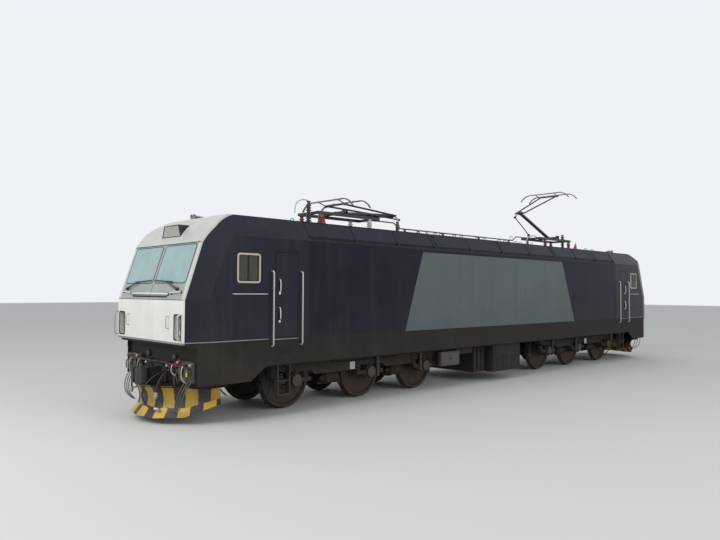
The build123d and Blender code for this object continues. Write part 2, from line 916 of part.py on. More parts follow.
# Axle boxes with spring wings, each with a bore for its journal and a round end cap
box_inner_face = tread_face + tyre_width + 40
box_outer_face = journal_spacing / 2 + 130
with BuildPart() as axle_boxes:
    for place in axle_places:
        for side in (-1, 1):
            inner = side * box_inner_face
            with BuildSketch(Plane.XZ.offset(-inner)):
                with Locations((place, axle_height)):
                    Circle(170)
                    Rectangle(2 * primary_spring_offset + 200, 90)
                    Circle(journal_radius + pin_clearance, mode=Mode.SUBTRACT)
            extrude(amount=-side * (box_outer_face - box_inner_face))
            with BuildSketch(Plane.XZ.offset(-side * box_outer_face)):
                with Locations((place, axle_height)):
                    Circle(130)
            extrude(amount=-side * 48)
axle_boxes_rear = turned(axle_boxes.part)
save(axle_boxes.part, "axle_boxes_front")
save(axle_boxes_rear, "axle_boxes_rear")

# Springs: primary beside each axle box, secondary on top of the side beams
spring_seat = axle_height + 45
with BuildPart() as springs:
    for side in (-1, 1):
        for place in axle_places:
            for end in (-1, 1):
                with Locations(
                    (place + end * primary_spring_offset, side * bogie_beam_y, spring_seat)
                ):
                    Cylinder(
                        primary_spring_radius,
                        bogie_beam_bottom - spring_seat,
                        align=(Align.CENTER, Align.CENTER, Align.MIN),
                    )
        for step in (-1, 0, 1):
            with Locations(
                (bogie_centre + step * secondary_spring_spacing, side * bogie_beam_y, bogie_beam_top)
            ):
                Cylinder(
                    secondary_spring_radius,
                    floor_top - floor_depth - bogie_beam_top - spring_seat_gap,
                    align=(Align.CENTER, Align.CENTER, Align.MIN),
                )
springs_rear = turned(springs.part)
save(springs.part, "springs_front")
save(springs_rear, "springs_rear")

# Traction motors, each on the tube around its axle and on a nose under a transom
motor_table = [
    # axle place, way to the motor, transom that carries the nose
    (axle_places[0], -1, transom_places[0]),
    (axle_places[1], -1, transom_places[1]),
    (axle_places[2], 1, transom_places[1]),
]
nose_gap = 20
with BuildPart() as motors:
    for axle_place, way, transom in motor_table:
        middle = axle_place + way * motor_offset
        with Locations((middle, 0, axle_height + 20)):
            Cylinder(motor_radius, 2 * motor_half_length, rotation=(90, 0, 0))
        nose_end_place = transom - way * nose_gap
        with Locations(((middle + nose_end_place) / 2, 0, transom_bottom)):
            Box(
                abs(middle - nose_end_place),
                360,
                90,
                align=(Align.CENTER, Align.CENTER, Align.MAX),
            )
        for across in (-330, 330):
            with Locations(((axle_place + middle) / 2, across, axle_height)):
                Box(motor_offset, 120, 260)
        with BuildSketch(Plane.XZ):
            with Locations((axle_place, axle_height)):
                Circle(175)
        extrude(amount=motor_half_length - 60, both=True)
        with BuildSketch(Plane.XZ):
            with Locations((axle_place, axle_height)):
                Circle(axle_seat_radius + pin_clearance)
        extrude(amount=motor_half_length, both=True, mode=Mode.SUBTRACT)
motors_rear = turned(motors.part)
save(motors.part, "traction_motors_front")
save(motors_rear, "traction_motors_rear")


# Pantographs
def side_point(origin, angle, reach):
    """Point of the side view at a distance from another, at an angle above the way to the knee."""
    return (origin[0] - reach * cos(radians(angle)), origin[1] + reach * sin(radians(angle)))


def tube_between(start, end, across_start, across_end, radius):
    """Round tube between two points of the side view, at the given places across."""
    first = Vector(start[0], across_start, start[1])
    run = Vector(end[0], across_end, end[1]) - first
    with BuildPart() as tube:
        with BuildSketch(Plane(origin=first, z_dir=run)):
            Circle(radius)
        extrude(amount=run.length)
    return tube.part


def cross_tube(point, start, end, radius, bore=0):
    """Round tube across the locomotive through a point of the side view, with its bore."""
    with BuildPart() as tube:
        with BuildSketch(Plane.XZ.offset(-start)):
            with Locations(point):
                Circle(radius)
                if bore:
                    Circle(bore, mode=Mode.SUBTRACT)
        extrude(amount=start - end)
    return tube.part


def lower_arm(foot, knee):
    """Single tube from the foot shaft to the sleeve at the knee."""
    with BuildPart() as arm:
        add(tube_between(foot, knee, 0, 0, arm_radius))
        add(cross_tube(foot, -foot_shaft_half, foot_shaft_half, foot_shaft_radius))
        add(cross_tube(knee, -knee_sleeve_half, knee_sleeve_half, arm_radius + 5))
        add(
            cross_tube(knee, -knee_sleeve_half, knee_sleeve_half, knee_pin_radius + pin_clearance),
            mode=Mode.SUBTRACT,
        )
    return arm.part


def upper_arm(knee, top, lever):
    """Two tubes that spread from the knee shaft to the head shaft, with the lever for the rod."""
    with BuildPart() as arm:
        add(cross_tube(knee, -knee_shaft_half, knee_shaft_half, knee_pin_radius))
        add(cross_tube(top, -head_shaft_half, head_shaft_half, head_pin_radius))
        for side in (-1, 1):
            add(
                tube_between(
                    knee, top, side * upper_arm_spread_knee, side * upper_arm_spread_top, 24
                )
            )
        for across in (rod_across - lever_gap, rod_across + lever_gap):
            add(tube_between(knee, lever, across, across, 9))
            add(cross_tube(lever, across - 9, across + 9, 32))
    return arm.part


def contact_head(top):
    """Two contact strips with curved horns, on bearings around the head shaft."""
    strip_height = top[1] + strip_rise
    with BuildPart() as head:
        for side in (-1, 1):
            inner = side * (head_shaft_half - 55)
            outer = side * (head_shaft_half - 5)
            add(cross_tube(top, inner, outer, 36, head_pin_radius + pin_clearance))
            for end in (-1, 1):
                add(
                    tube_between(
                        (top[0] + end * 30, top[1] + 10),
                        (top[0] + end * strip_spacing / 2, strip_height),
                        (inner + outer) / 2,
                        (inner + outer) / 2,
                        14,
                    )
                )
        for end in (-1, 1):
            place = top[0] + end * strip_spacing / 2
            with BuildSketch(Plane.YZ.offset(place)):
                with BuildLine():
                    Line((-strip_half_length, strip_height), (strip_half_length, strip_height))
                    for side in (-1, 1):
                        ThreePointArc(
                            (side * strip_half_length, strip_height),
                            (side * 800, strip_height - 55),
                            (side * head_half_width, strip_height - 220),
                        )
                        Line(
                            (side * head_half_width, strip_height - 220),
                            (side * (head_half_width - 26), strip_height - 228),
                        )
                        ThreePointArc(
                            (side * (head_half_width - 26), strip_height - 228),
                            (side * 790, strip_height - 85),
                            (side * strip_half_length, strip_height - 32),
                        )
                    Line(
                        (-strip_half_length, strip_height - 32),
                        (strip_half_length, strip_height - 32),
                    )
                make_face()
            extrude(amount=18, both=True)
    return head.part


def thrust_rod(foot, angle):
    """Rod beside the lower arm, with an eye at each end."""
    end = side_point(foot, angle, rod_length)
    with BuildPart() as rod:
        add(tube_between(foot, end, rod_across, rod_across, 17))
        for point in (foot, end):
            add(cross_tube(point, rod_across - 15, rod_across + 15, 32))
        add(
            cross_tube(foot, rod_across - 20, rod_across + 20, rod_pin_radius + pin_clearance),
            mode=Mode.SUBTRACT,
        )
    return rod.part


foot_shaft_half = 330
foot_shaft_radius = 45
knee_sleeve_half = 60
knee_shaft_half = 200
knee_pin_radius = 25
head_shaft_half = 400
head_pin_radius = 20
upper_arm_spread_knee = 175
upper_arm_spread_top = 320
rod_across = 115
rod_length = 1030
rod_pin_radius = 15
rod_ratio = 1.85
lever_gap = 29
lever_drop = 25
strip_rise = 95
rod_base = (4050, rail_top + 4560)
rod_folded_angle = -2.6


def pantograph(angle):
    """The four moving pieces of a pantograph with its lower arm at an angle."""
    foot = (arm_foot, arm_foot_height)
    knee = side_point(foot, angle, arm_length)
    top = (arm_foot, arm_foot_height + 2 * arm_length * sin(radians(angle)))
    lever = side_point(knee, -angle - lever_drop, knee_lever)
    rod_angle = rod_folded_angle + rod_ratio * (angle - folded_angle)
    return {
        "lower_arm": lower_arm(foot, knee),
        "upper_arm": upper_arm(knee, top, lever),
        "head": contact_head(top),
        "thrust_rod": thrust_rod(rod_base, rod_angle),
    }


for name, shape in pantograph(folded_angle).items():
    save(shape, f"pantograph_front_{name}")
for name, shape in pantograph(raised_angle).items():
    save(turned(shape), f"pantograph_rear_{name}")

# Pantograph bases: a frame on ribbed insulators, with the bearings of the arm and of the rod
base_top = rail_top + 4460
insulator_places = [4350, 6000]
with BuildPart() as bases:
    for side in (-1, 1):
        with Locations(((4000 + 6100) / 2, side * base_beam_y, base_bottom)):
            Box(2100, 70, base_top - base_bottom, align=(Align.CENTER, Align.CENTER, Align.MIN))
        with Locations((arm_foot, side * base_beam_y, base_bottom)):
            Box(
                160,
                50,
                arm_foot_height + 75 - base_bottom,
                align=(Align.CENTER, Align.CENTER, Align.MIN),
            )
        add(
            cross_tube(
                (arm_foot, arm_foot_height),
                side * (base_beam_y - 40),
                side * (base_beam_y + 40),
                foot_shaft_radius + pin_clearance,
            ),
            mode=Mode.SUBTRACT,
        )
    for place in (4050, 6070):
        with Locations((place, 0, base_bottom)):
            Box(
                60,
                2 * base_beam_y,
                base_top - base_bottom - 5,
                align=(Align.CENTER, Align.CENTER, Align.MIN),
            )
    for across in (rod_across - lever_gap, rod_across + lever_gap):
        with Locations((rod_base[0], across, base_bottom)):
            Box(
                60,
                14,
                rod_base[1] + 30 - base_bottom,
                align=(Align.CENTER, Align.CENTER, Align.MIN),
            )
    add(cross_tube(rod_base, rod_across - lever_gap, rod_across + lever_gap, rod_pin_radius))
    add(turned(bases.part))
save(bases.part, "pantograph_bases")


def insulator(height, radius, sheds):
    """Ribbed post insulator standing on its foot, by its half outline."""
    pitch = height / (sheds + 1)
    with BuildPart() as post:
        Cylinder(0.55 * radius, height, align=(Align.CENTER, Align.CENTER, Align.MIN))
        for shed in range(sheds):
            with Locations((0, 0, (shed + 0.7) * pitch)):
                Cone(radius, 0.6 * radius, 0.6 * pitch, align=(Align.CENTER, Align.CENTER, Align.MIN))
    return post.part


# Insulators, circuit breaker and high-voltage bus on the roof
with BuildPart() as roof_insulators:
    for along, across, top_level, radius, sheds in roof_post_table:
        add(Pos(along, across, pad_top) * insulator(top_level - pad_top, radius, sheds))
    add(turned(roof_insulators.part))
save(roof_insulators.part, "roof_insulators")

with BuildPart() as bus:
    with Locations((0, 0, bus_height)):
        Cylinder(bus_radius, 5400, rotation=(0, 90, 0))
    for end in (-1, 1):
        with BuildLine() as cable:
            FilletPolyline(
                (end * 2700, 0, bus_height),
                (end * 2850, 0, bus_height),
                (end * 3050, 0, bus_height + 140),
                (end * 3650, 0, bus_height + 140),
                (end * 3850, 0, base_bottom + 35),
                (end * 4019.7, 0, base_bottom + 35),
                radius=70,
            )
        with BuildSketch(Plane(cable.line @ 0, z_dir=cable.line % 0)):
            Circle(18)
        sweep()
save(bus.part, "high_voltage_bus")
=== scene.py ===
import json

import bmesh
import bpy
import numpy as np
from mathutils import Matrix, Vector


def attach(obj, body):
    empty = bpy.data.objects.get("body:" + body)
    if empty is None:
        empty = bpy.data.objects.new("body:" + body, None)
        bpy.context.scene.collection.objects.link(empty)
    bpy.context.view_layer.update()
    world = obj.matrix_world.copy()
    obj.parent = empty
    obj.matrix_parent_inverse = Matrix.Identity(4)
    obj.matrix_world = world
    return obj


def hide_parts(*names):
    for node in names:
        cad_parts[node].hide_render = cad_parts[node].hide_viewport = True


# Electric locomotive: finishes, seals, springs, hoses, bolts and other small parts around the CAD frame.
# Metres. +X is the front cab, +Y the left side, +Z up; the rail top is at RAIL.

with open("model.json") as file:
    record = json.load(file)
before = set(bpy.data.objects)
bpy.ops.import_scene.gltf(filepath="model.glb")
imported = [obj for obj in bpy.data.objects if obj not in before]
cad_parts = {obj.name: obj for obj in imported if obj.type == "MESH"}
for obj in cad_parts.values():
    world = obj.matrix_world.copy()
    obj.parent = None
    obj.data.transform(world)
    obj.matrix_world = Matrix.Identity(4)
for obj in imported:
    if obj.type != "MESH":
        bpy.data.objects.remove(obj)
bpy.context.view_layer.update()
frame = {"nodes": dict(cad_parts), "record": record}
nodes = frame["nodes"]

# Sizes of the CAD model that pieces are set against
RAIL = 0.028
FLOOR = 1.600
CANT = 3.631
HALF_WIDTH = 1.550
NOSE = 10.140
NOSE_TOP = 2.380
GLASS_TOP = 3.478
GLASS_TOP_PLACE = 9.778
ROOF_EDGE = 1.252
ROOF_EDGE_HEIGHT = 4.073
ROOF_CROWN = 4.128
PANE_INNER, PANE_OUTER = 0.055, 1.290
PANE_BOTTOM, PANE_TOP = 2.708, 3.450
WINDOW_REAR, WINDOW_FRONT = 8.540, 9.080
WINDOW_BOTTOM, WINDOW_TOP = 2.718, 3.298
LAMP_BOX_BOTTOM, LAMP_BOX_TOP = 1.650, 2.108
COUPLER = 0.908
PILOT_TOP = 0.728
PAD_TOP = 4.140
BASE_BOTTOM = 4.418
BUS_BOTTOM = 4.298
AXLES = (7.350, 5.100, 3.100)
AXLE_HEIGHT = 0.653
WHEEL = 0.625
BOGIE = 5.225
BEAM = 1.050
END_FACE = 9.812

# Places along and heights of a door's two pull handles
DOOR_HANDLES = ((8.060, 2.670), (8.060, 2.100))

# Studio
SKY_COLOUR = (0.93, 0.96, 1.0, 1)
SKY_LIGHT, SKY_SEEN = 0.55, 0.92
FLOOR_COLOUR, FLOOR_ROUGHNESS, FLOOR_REACH = (0.74, 0.74, 0.72, 1), 0.9, 120.0
LAMP_AIM = (4.0, 0.0, 2.0)
LAMPS = [
    # name, place, power, size
    ("key", (26.0, 2.0, 15.0), 2300.0, 12.0),
    ("fill", (2.0, 26.0, 12.0), 1500.0, 14.0),
]


# Finishes: shared effects

def group(name, inputs, outputs):
    """An empty shader node group with named sockets, and its input and output nodes."""
    tree = bpy.data.node_groups.new(name, "ShaderNodeTree")
    for label, kind, value in inputs:
        tree.interface.new_socket(label, in_out="INPUT", socket_type=kind).default_value = value
    for label, kind in outputs:
        tree.interface.new_socket(label, in_out="OUTPUT", socket_type=kind)
    start = tree.nodes.new("NodeGroupInput")
    end = tree.nodes.new("NodeGroupOutput")
    return tree, start, end


def node(tree, kind, **values):
    """A node with its settings; a value whose name is a socket's goes to that socket."""
    made = tree.nodes.new(kind)
    for key, value in values.items():
        if key in made.inputs:
            made.inputs[key].default_value = value
        else:
            setattr(made, key, value)
    return made


def fill(made, values):
    """Values put on a node's own sockets, by their names."""
    for label, value in values.items():
        made.inputs[label].default_value = value


def maths(tree, operation, first, second=None, clamp=False):
    """One step of arithmetic on sockets or numbers."""
    made = tree.nodes.new("ShaderNodeMath")
    made.operation = operation
    made.use_clamp = clamp
    for place, value in enumerate((first, second)):
        if value is None:
            continue
        if isinstance(value, (int, float)):
            made.inputs[place].default_value = value
        else:
            tree.links.new(value, made.inputs[place])
    return made.outputs[0]


def mixed(tree, factor, first, second):
    """Two colours mixed by a factor."""
    made = tree.nodes.new("ShaderNodeMix")
    made.data_type = "RGBA"
    for place, value in ((0, factor), (6, first), (7, second)):
        if isinstance(value, (int, float, tuple)):
            made.inputs[place].default_value = value
        else:
            tree.links.new(value, made.inputs[place])
    return made.outputs[2]


def object_place(tree):
    """Object coordinates."""
    return tree.nodes.new("ShaderNodeTexCoord").outputs["Object"]


def object_parts(tree):
    """Object coordinates one by one: along, across and up."""
    parts = tree.nodes.new("ShaderNodeSeparateXYZ")
    tree.links.new(object_place(tree), parts.inputs[0])
    return parts.outputs


def noise(tree, place, scale, detail=3.0, stretch=None):
    """Noise at a scale, drawn out along an axis where a stretch is given."""
    if stretch:
        mapping = node(tree, "ShaderNodeMapping")
        mapping.inputs["Scale"].default_value = stretch
        tree.links.new(place, mapping.inputs["Vector"])
        place = mapping.outputs[0]
    made = node(tree, "ShaderNodeTexNoise", Scale=scale, Detail=detail)
    tree.links.new(place, made.inputs["Vector"])
    return made.outputs["Fac"]


def ramp(tree, value, low, high, out_low=0.0, out_high=1.0):
    """A value moved from one range to another and held at its ends."""
    made = node(tree, "ShaderNodeMapRange")
    fill(made, {"From Min": low, "From Max": high, "To Min": out_low, "To Max": out_high})
    tree.links.new(value, made.inputs["Value"])
    return made.outputs[0]


def add_relief(tree, shader, height, strength, distance):
    """A bump from a height, put on the shader's normal."""
    relief = node(tree, "ShaderNodeBump", Strength=strength, Distance=distance)
    tree.links.new(height, relief.inputs["Height"])
    tree.links.new(relief.outputs[0], shader.inputs["Normal"])


DUST_COLOUR = (0.075, 0.056, 0.043, 1)
FADED_COLOUR = (0.06, 0.06, 0.07, 1)


def make_weather():
    """Road dust that thickens downwards, rain streaks and patchy gloss on outside paint."""
    tree, start, end = group(
        "weather",
        [
            ("Colour", "NodeSocketColor", (0.5, 0.5, 0.5, 1)),
            ("Dust Colour", "NodeSocketColor", DUST_COLOUR),
            ("Dust", "NodeSocketFloat", 0.5),
            ("Dust Top", "NodeSocketFloat", 2.2),
            ("Streaks", "NodeSocketFloat", 0.2),
            ("Gloss Low", "NodeSocketFloat", 0.3),
            ("Gloss High", "NodeSocketFloat", 0.5),
        ],
        [("Colour", "NodeSocketColor"), ("Roughness", "NodeSocketFloat"), ("Height", "NodeSocketFloat")],
    )
    place = object_place(tree)
    _, _, up = object_parts(tree)
    patches = noise(tree, place, scale=1.3, detail=5.0)
    streaks = noise(tree, place, scale=6.0, detail=4.0, stretch=(1.0, 1.0, 0.06))
    grain = noise(tree, place, scale=260.0, detail=2.0)
    height = maths(tree, "DIVIDE", up, start.outputs["Dust Top"])
    fall = maths(tree, "SUBTRACT", 1.0, height, clamp=True)
    spread = maths(tree, "MULTIPLY", fall, ramp(tree, patches, 0.3, 0.75, 0.5, 1.4))
    dust = maths(tree, "MULTIPLY", spread, start.outputs["Dust"], clamp=True)
    runs = maths(tree, "MULTIPLY", ramp(tree, streaks, 0.5, 0.75), start.outputs["Streaks"])
    cover = maths(tree, "ADD", dust, runs, clamp=True)
    tint = mixed(tree, cover, start.outputs["Colour"], start.outputs["Dust Colour"])
    fade = mixed(tree, ramp(tree, patches, 0.35, 0.7, 0.0, 0.10), tint, FADED_COLOUR)
    tree.links.new(fade, end.inputs["Colour"])
    gloss = maths(tree, "ADD", maths(tree, "MULTIPLY", patches, 0.5), cover, clamp=True)
    rough = node(tree, "ShaderNodeMapRange")
    tree.links.new(gloss, rough.inputs["Value"])
    tree.links.new(start.outputs["Gloss Low"], rough.inputs["To Min"])
    tree.links.new(start.outputs["Gloss High"], rough.inputs["To Max"])
    tree.links.new(rough.outputs[0], end.inputs["Roughness"])
    tree.links.new(maths(tree, "ADD", grain, maths(tree, "MULTIPLY", patches, 2.0)),
                   end.inputs["Height"])
    return tree


weather = make_weather()


def linear(red, green, blue):
    """A colour written as 0-255 screen values, by the standard screen curve in linear values."""
    values = np.array([red, green, blue]) / 255.0
    return tuple(np.where(values > 0.04045, ((values + 0.055) / 1.055) ** 2.4, values / 12.92)) + (1.0,)


def darker(colour, share):
    """A colour with a share of its light."""
    return tuple(part * share for part in colour[:3]) + (1,)


def new_material(name):
    """A material with its Principled shader, ready to be linked."""
    material = bpy.data.materials.new(name)
    material.use_nodes = True
    return material, material.node_tree, material.node_tree.nodes["Principled BSDF"]


def weathered(name, colour, dust, dust_top, streaks, gloss_low, gloss_high, coat, metallic, bump,
              shine, paint=None):
    """Painted or bare metal outside: its colour, or a pattern of colours, under the weather."""
    material, tree, shader = new_material(name)
    cover = tree.nodes.new("ShaderNodeGroup")
    cover.node_tree = weather
    fill(cover, {"Colour": colour, "Dust Colour": DUST_COLOUR, "Dust": dust, "Dust Top": dust_top,
                 "Streaks": streaks, "Gloss Low": gloss_low, "Gloss High": gloss_high})
    if paint:
        tree.links.new(paint(tree), cover.inputs["Colour"])
    tree.links.new(cover.outputs["Colour"], shader.inputs["Base Color"])
    tree.links.new(cover.outputs["Roughness"], shader.inputs["Roughness"])
    add_relief(tree, shader, cover.outputs["Height"], bump, distance=0.01)
    fill(shader, {"Metallic": metallic, "Coat Weight": coat, "Coat Roughness": 0.12,
                  "Specular IOR Level": shine})
    return material


NAVY = linear(32, 33, 47)
ROOF_NAVY = linear(40, 42, 53)
FRAME_GREEN = linear(40, 40, 37)
PANEL_GREY = linear(98, 107, 108)
SILVER = linear(196, 198, 190)
WHITE = linear(236, 235, 228)
YELLOW = linear(222, 180, 62)
BLACK = linear(34, 32, 30)

# Grey side panel: heights of its foot and top, its reach ahead of and behind the middle, its ends' lean
PANEL_BOTTOM, PANEL_TOP = RAIL + 1.57, RAIL + 3.53
PANEL_AHEAD, PANEL_BEHIND = 4.27, 4.15
LEAN_AHEAD, LEAN_BEHIND = 0.66, 0.80

# Where the pale strip of the surround starts, and how wide the change to the brow's silver is
STRIP_START, STRIP_FULL, BROW_CHANGE = 1.325, 1.335, 0.010

# Pilot's stripes: their start, pitch and shift on the blade, the wear of their edges and faces, and how
# strong the painted shade on the hollow face above the blade is
STRIPE_START, STRIPE_PITCH, BLADE_SHIFT = 10.37, 0.500, 0.14
BLADE_LEVEL, EDGE_WEAR, CHIP_LEVEL, PAINTED_WALL_SHADE = 0.02, 0.05, 0.66, 0.38


def side_panel_paint(tree):
    """Grey trapezoid on both sides: its two ends lean inwards with height."""
    along, _, up = object_parts(tree)
    rise = ramp(tree, up, PANEL_BOTTOM, PANEL_TOP)
    ahead = maths(tree, "SUBTRACT", PANEL_AHEAD, maths(tree, "MULTIPLY", rise, LEAN_AHEAD))
    behind = maths(tree, "SUBTRACT", PANEL_BEHIND, maths(tree, "MULTIPLY", rise, LEAN_BEHIND))
    front, rear = maths(tree, "SUBTRACT", ahead, along), maths(tree, "ADD", behind, along)
    ends = maths(tree, "MINIMUM", front, rear)
    inside = maths(tree, "MINIMUM", ends, maths(tree, "SUBTRACT", PANEL_TOP, up))
    return mixed(tree, maths(tree, "GREATER_THAN", inside, 0.0), NAVY, PANEL_GREY)


def surround_paint(tree):
    """Silver of the brow, grey round the windscreens and a pale strip down each outer edge."""
    _, across, up = object_parts(tree)
    brow = ramp(tree, up, GLASS_TOP - BROW_CHANGE, GLASS_TOP + BROW_CHANGE)
    edge = ramp(tree, maths(tree, "ABSOLUTE", across), STRIP_START, STRIP_FULL)
    grey = mixed(tree, edge, linear(158, 165, 161), linear(206, 207, 201))
    return mixed(tree, brow, grey, SILVER)


def stripe_paint(tree):
    """Yellow and black bands along the pilot's width, set over on its blade, with painted shade on the
    hollow face above the blade.
    """
    way = node(tree, "ShaderNodeAttribute", attribute_name="width_way").outputs["Fac"]
    down = node(tree, "ShaderNodeAttribute", attribute_name="blade_way").outputs["Fac"]
    blade = maths(tree, "GREATER_THAN", down, BLADE_LEVEL)
    place = object_place(tree)
    uneven = maths(tree, "SUBTRACT", noise(tree, place, scale=14.0), 0.5)
    wear = maths(tree, "MULTIPLY", uneven, EDGE_WEAR)
    start = maths(tree, "ADD", maths(tree, "MULTIPLY", blade, BLADE_SHIFT), STRIPE_START)
    across = maths(tree, "ADD", maths(tree, "ADD", way, wear), start)
    band = maths(tree, "FRACT", maths(tree, "DIVIDE", across, STRIPE_PITCH))
    chips = maths(tree, "GREATER_THAN", noise(tree, place, scale=30.0, detail=5.0), CHIP_LEVEL)
    painted = mixed(tree, maths(tree, "GREATER_THAN", band, 0.5), YELLOW, BLACK)
    worn = mixed(tree, chips, painted, linear(92, 78, 58))
    # painted shade: the hollow face above the blade is mixed towards a dark brown, the blade is not
    return mixed(tree, ramp(tree, blade, 0.0, 1.0, PAINTED_WALL_SHADE, 0.0), worn, linear(44, 38, 30))


def tread_paint(tree):
    """Wheel steel: patches of two browns."""
    patches = ramp(tree, noise(tree, object_place(tree), scale=9.0), 0.35, 0.7)
    return mixed(tree, patches, linear(74, 66, 58), linear(52, 46, 41))


def glass_material(name, colour, transmission, roughness):
    """Tinted pane: part clear, part pale, as it looks with the sky on it."""
    material, tree, shader = new_material(name)
    # painted reflection of the sky: where the noise is high the tint is a little darker and the pane
    # rougher
    sky_reflection_patches = ramp(tree, noise(tree, object_place(tree), scale=3.0), 0.3, 0.7)
    tree.links.new(mixed(tree, sky_reflection_patches, colour, darker(colour, 0.88)), shader.inputs["Base Color"])
    tree.links.new(ramp(tree, sky_reflection_patches, 0.0, 1.0, roughness, roughness * 2), shader.inputs["Roughness"])
    fill(shader, {"Transmission Weight": transmission, "IOR": 1.45})
    return material


def rubbed(name, colour, roughness, scale, bump, metallic):
    """Plain small-part finish with a fine uneven surface."""
    material, tree, shader = new_material(name)
    field = noise(tree, object_place(tree), scale, detail=4.0)
    tint = mixed(tree, ramp(tree, field, 0.3, 0.7), colour, darker(colour, 0.7))
    tree.links.new(tint, shader.inputs["Base Color"])
    smooth, rough = roughness * 0.8, min(1.0, roughness * 1.25)
    tree.links.new(ramp(tree, field, 0.2, 0.8, smooth, rough), shader.inputs["Roughness"])
    add_relief(tree, shader, field, bump, distance=0.004)
    shader.inputs["Metallic"].default_value = metallic
    return material


# Shapes: each part is its points, rows of three numbers, and blocks of faces that count those points

ALONG = (1.0, 0.0, 0.0)
BACKWARD = (-1.0, 0.0, 0.0)
ACROSS = (0.0, 1.0, 0.0)
UPWARD = (0.0, 0.0, 1.0)


def unit(vector):
    """A direction of length one."""
    vector = np.asarray(vector, float)
    return vector / np.linalg.norm(vector, axis=-1, keepdims=True)


def square_to(axis):
    """Two directions square to an axis: one level where that can be, and the one square to both."""
    axis = unit(axis)
    helper = ALONG if abs(axis[2]) > 0.9 else UPWARD
    first = unit(np.cross(helper, axis))
    return first, np.cross(axis, first)


def grid(points, close_rows=False, close_columns=False, ends=False):
    """Sheet of points in rows and columns: quads between neighbours, and flat end rows on request."""
    rows, columns = points.shape[:2]
    row = np.arange(rows if close_rows else rows - 1)[:, None]
    column = np.arange(columns if close_columns else columns - 1)[None, :]
    below, beside = (row + 1) % rows, (column + 1) % columns
    corners = (row * columns + column, row * columns + beside, below * columns + beside,
               below * columns + column)
    faces = [np.stack(np.broadcast_arrays(*corners), axis=-1).reshape(-1, 4)]
    if ends:
        faces += [np.arange(columns)[None, ::-1], np.arange(columns)[None, :] + (rows - 1) * columns]
    return points.reshape(-1, 3), faces


def joined(*parts):
    """Several parts as one, their faces counted on from the points before them."""
    starts = np.cumsum([0] + [len(points) for points, faces in parts])
    points = np.concatenate([points for points, faces in parts])
    return points, [corners + start for (_, faces), start in zip(parts, starts) for corners in faces]


def mirrored(part):
    """The mirror image of a part across the middle plane."""
    points, faces = part
    return points * (1.0, -1.0, 1.0), [corners[:, ::-1] for corners in faces]


def both_sides(part):
    """A part and its mirror image."""
    return joined(part, mirrored(part))


def turned(part):
    """The same part at the other end: half a turn about the upright axis."""
    points, faces = part
    return points * (-1.0, -1.0, 1.0), faces


def both_ends(part):
    """A part and the same one at the other end."""
    return joined(part, turned(part))


def at_corners(part):
    """A part on both sides of both ends."""
    return both_ends(both_sides(part))


def eased(way, rounds=3):
    """A way with its corners cut: each round, a leg keeps its points at one and three quarters."""
    way = np.asarray(way, float)
    for _ in range(rounds):
        first, second = way[:-1], way[1:]
        cut = np.stack((0.75 * first + 0.25 * second, 0.25 * first + 0.75 * second), axis=1)
        way = np.concatenate((way[:1], cut.reshape(-1, 3), way[-1:]))
    return way


def tube(way, radius, sides=10, guide=UPWARD):
    """Round tube: way + radius (cos a side + sin a above), the side square to way and guide."""
    way = np.asarray(way, float)
    along = unit(np.gradient(way, axis=0))
    side = unit(np.cross(guide, along))
    above = np.cross(along, side)
    angle = np.linspace(0, 2 * np.pi, sides, endpoint=False)[None, :, None]
    reach = np.broadcast_to(radius, len(way))[:, None, None]
    ring = reach * (np.cos(angle) * side[:, None] + np.sin(angle) * above[:, None])
    return grid(way[:, None] + ring, close_columns=True, ends=True)


def bent(way, radius, sides=8, guide=UPWARD):
    """Round tube along a way with its corners cut."""
    return tube(eased(way), radius, sides, guide)


def rod(start, end, radius, sides=10):
    """Straight round rod between two points."""
    return lathe([(radius, 0.0), (radius, float(np.linalg.norm(np.subtract(end, start))))],
                 start, np.subtract(end, start), sides)


def lathe(profile, foot, axis, sides=20):
    """Turned shape: foot + height along the axis + radius (cos a first + sin a second)."""
    profile = np.asarray(profile, float)
    first, second = square_to(axis)
    angle = np.linspace(0, 2 * np.pi, sides, endpoint=False)[None, :, None]
    ring = np.cos(angle) * first + np.sin(angle) * second
    points = np.asarray(foot, float) + profile[:, 1, None,
                                               None] * unit(axis) + profile[:, 0, None, None] * ring
    return grid(points, close_columns=True, ends=True)


def rounded(width, height, corner, steps=5):
    """Rounded rectangle about its middle: four quarter circles, one after another."""
    angle = np.linspace(0, np.pi / 2, steps)
    quarters = [(sign_x * (width / 2 - corner) + corner * np.cos(angle + turn),
                 sign_y * (height / 2 - corner) + corner * np.sin(angle + turn))
                for sign_x, sign_y, turn in ((1, 1, 0), (-1, 1, np.pi / 2), (-1, -1, np.pi),
                                             (1, -1, 1.5 * np.pi))]
    return np.concatenate([np.stack(quarter, axis=-1) for quarter in quarters])


def slab(outline, origin, across, upward, depth):
    """Plate: an outline of the plane across and upward, carried square to that plane by a depth."""
    outline = np.asarray(outline, float)
    across, upward = unit(across), unit(upward)
    face = np.asarray(origin, float) + outline[:, :1] * across + outline[:, 1:] * upward
    return grid(np.stack((face, face + depth * np.cross(across, upward))), close_columns=True, ends=True)


def block(low, high, corner=0.004):
    """Box between two corners, its upright edges rounded."""
    low, high = np.asarray(low, float), np.asarray(high, float)
    middle, size = (low + high) / 2, high - low
    corner = min(corner, 0.45 * size[0], 0.45 * size[1])
    return slab(rounded(size[0], size[1], corner, 3), (middle[0], middle[1], low[2]), ALONG, ACROSS,
                size[2])


def band(outline, origin, across, upward, section):
    """Closed band round an outline: each section point is so far outwards and so far above its plane."""
    outline, section = np.asarray(outline, float), np.asarray(section, float)
    across, upward = unit(across), unit(upward)
    along = np.roll(outline, -1, axis=0) - np.roll(outline, 1, axis=0)
    outwards = unit(np.stack((along[:, 1], -along[:, 0]), axis=-1))
    flat = outline[:, None] + section[None, :, :1] * outwards[:, None]
    points = np.asarray(origin, float) + flat[..., :1] * across + flat[..., 1:] * upward
    points = points + section[None, :, 1:] * np.cross(across, upward)
    return grid(points, close_rows=True, close_columns=True)


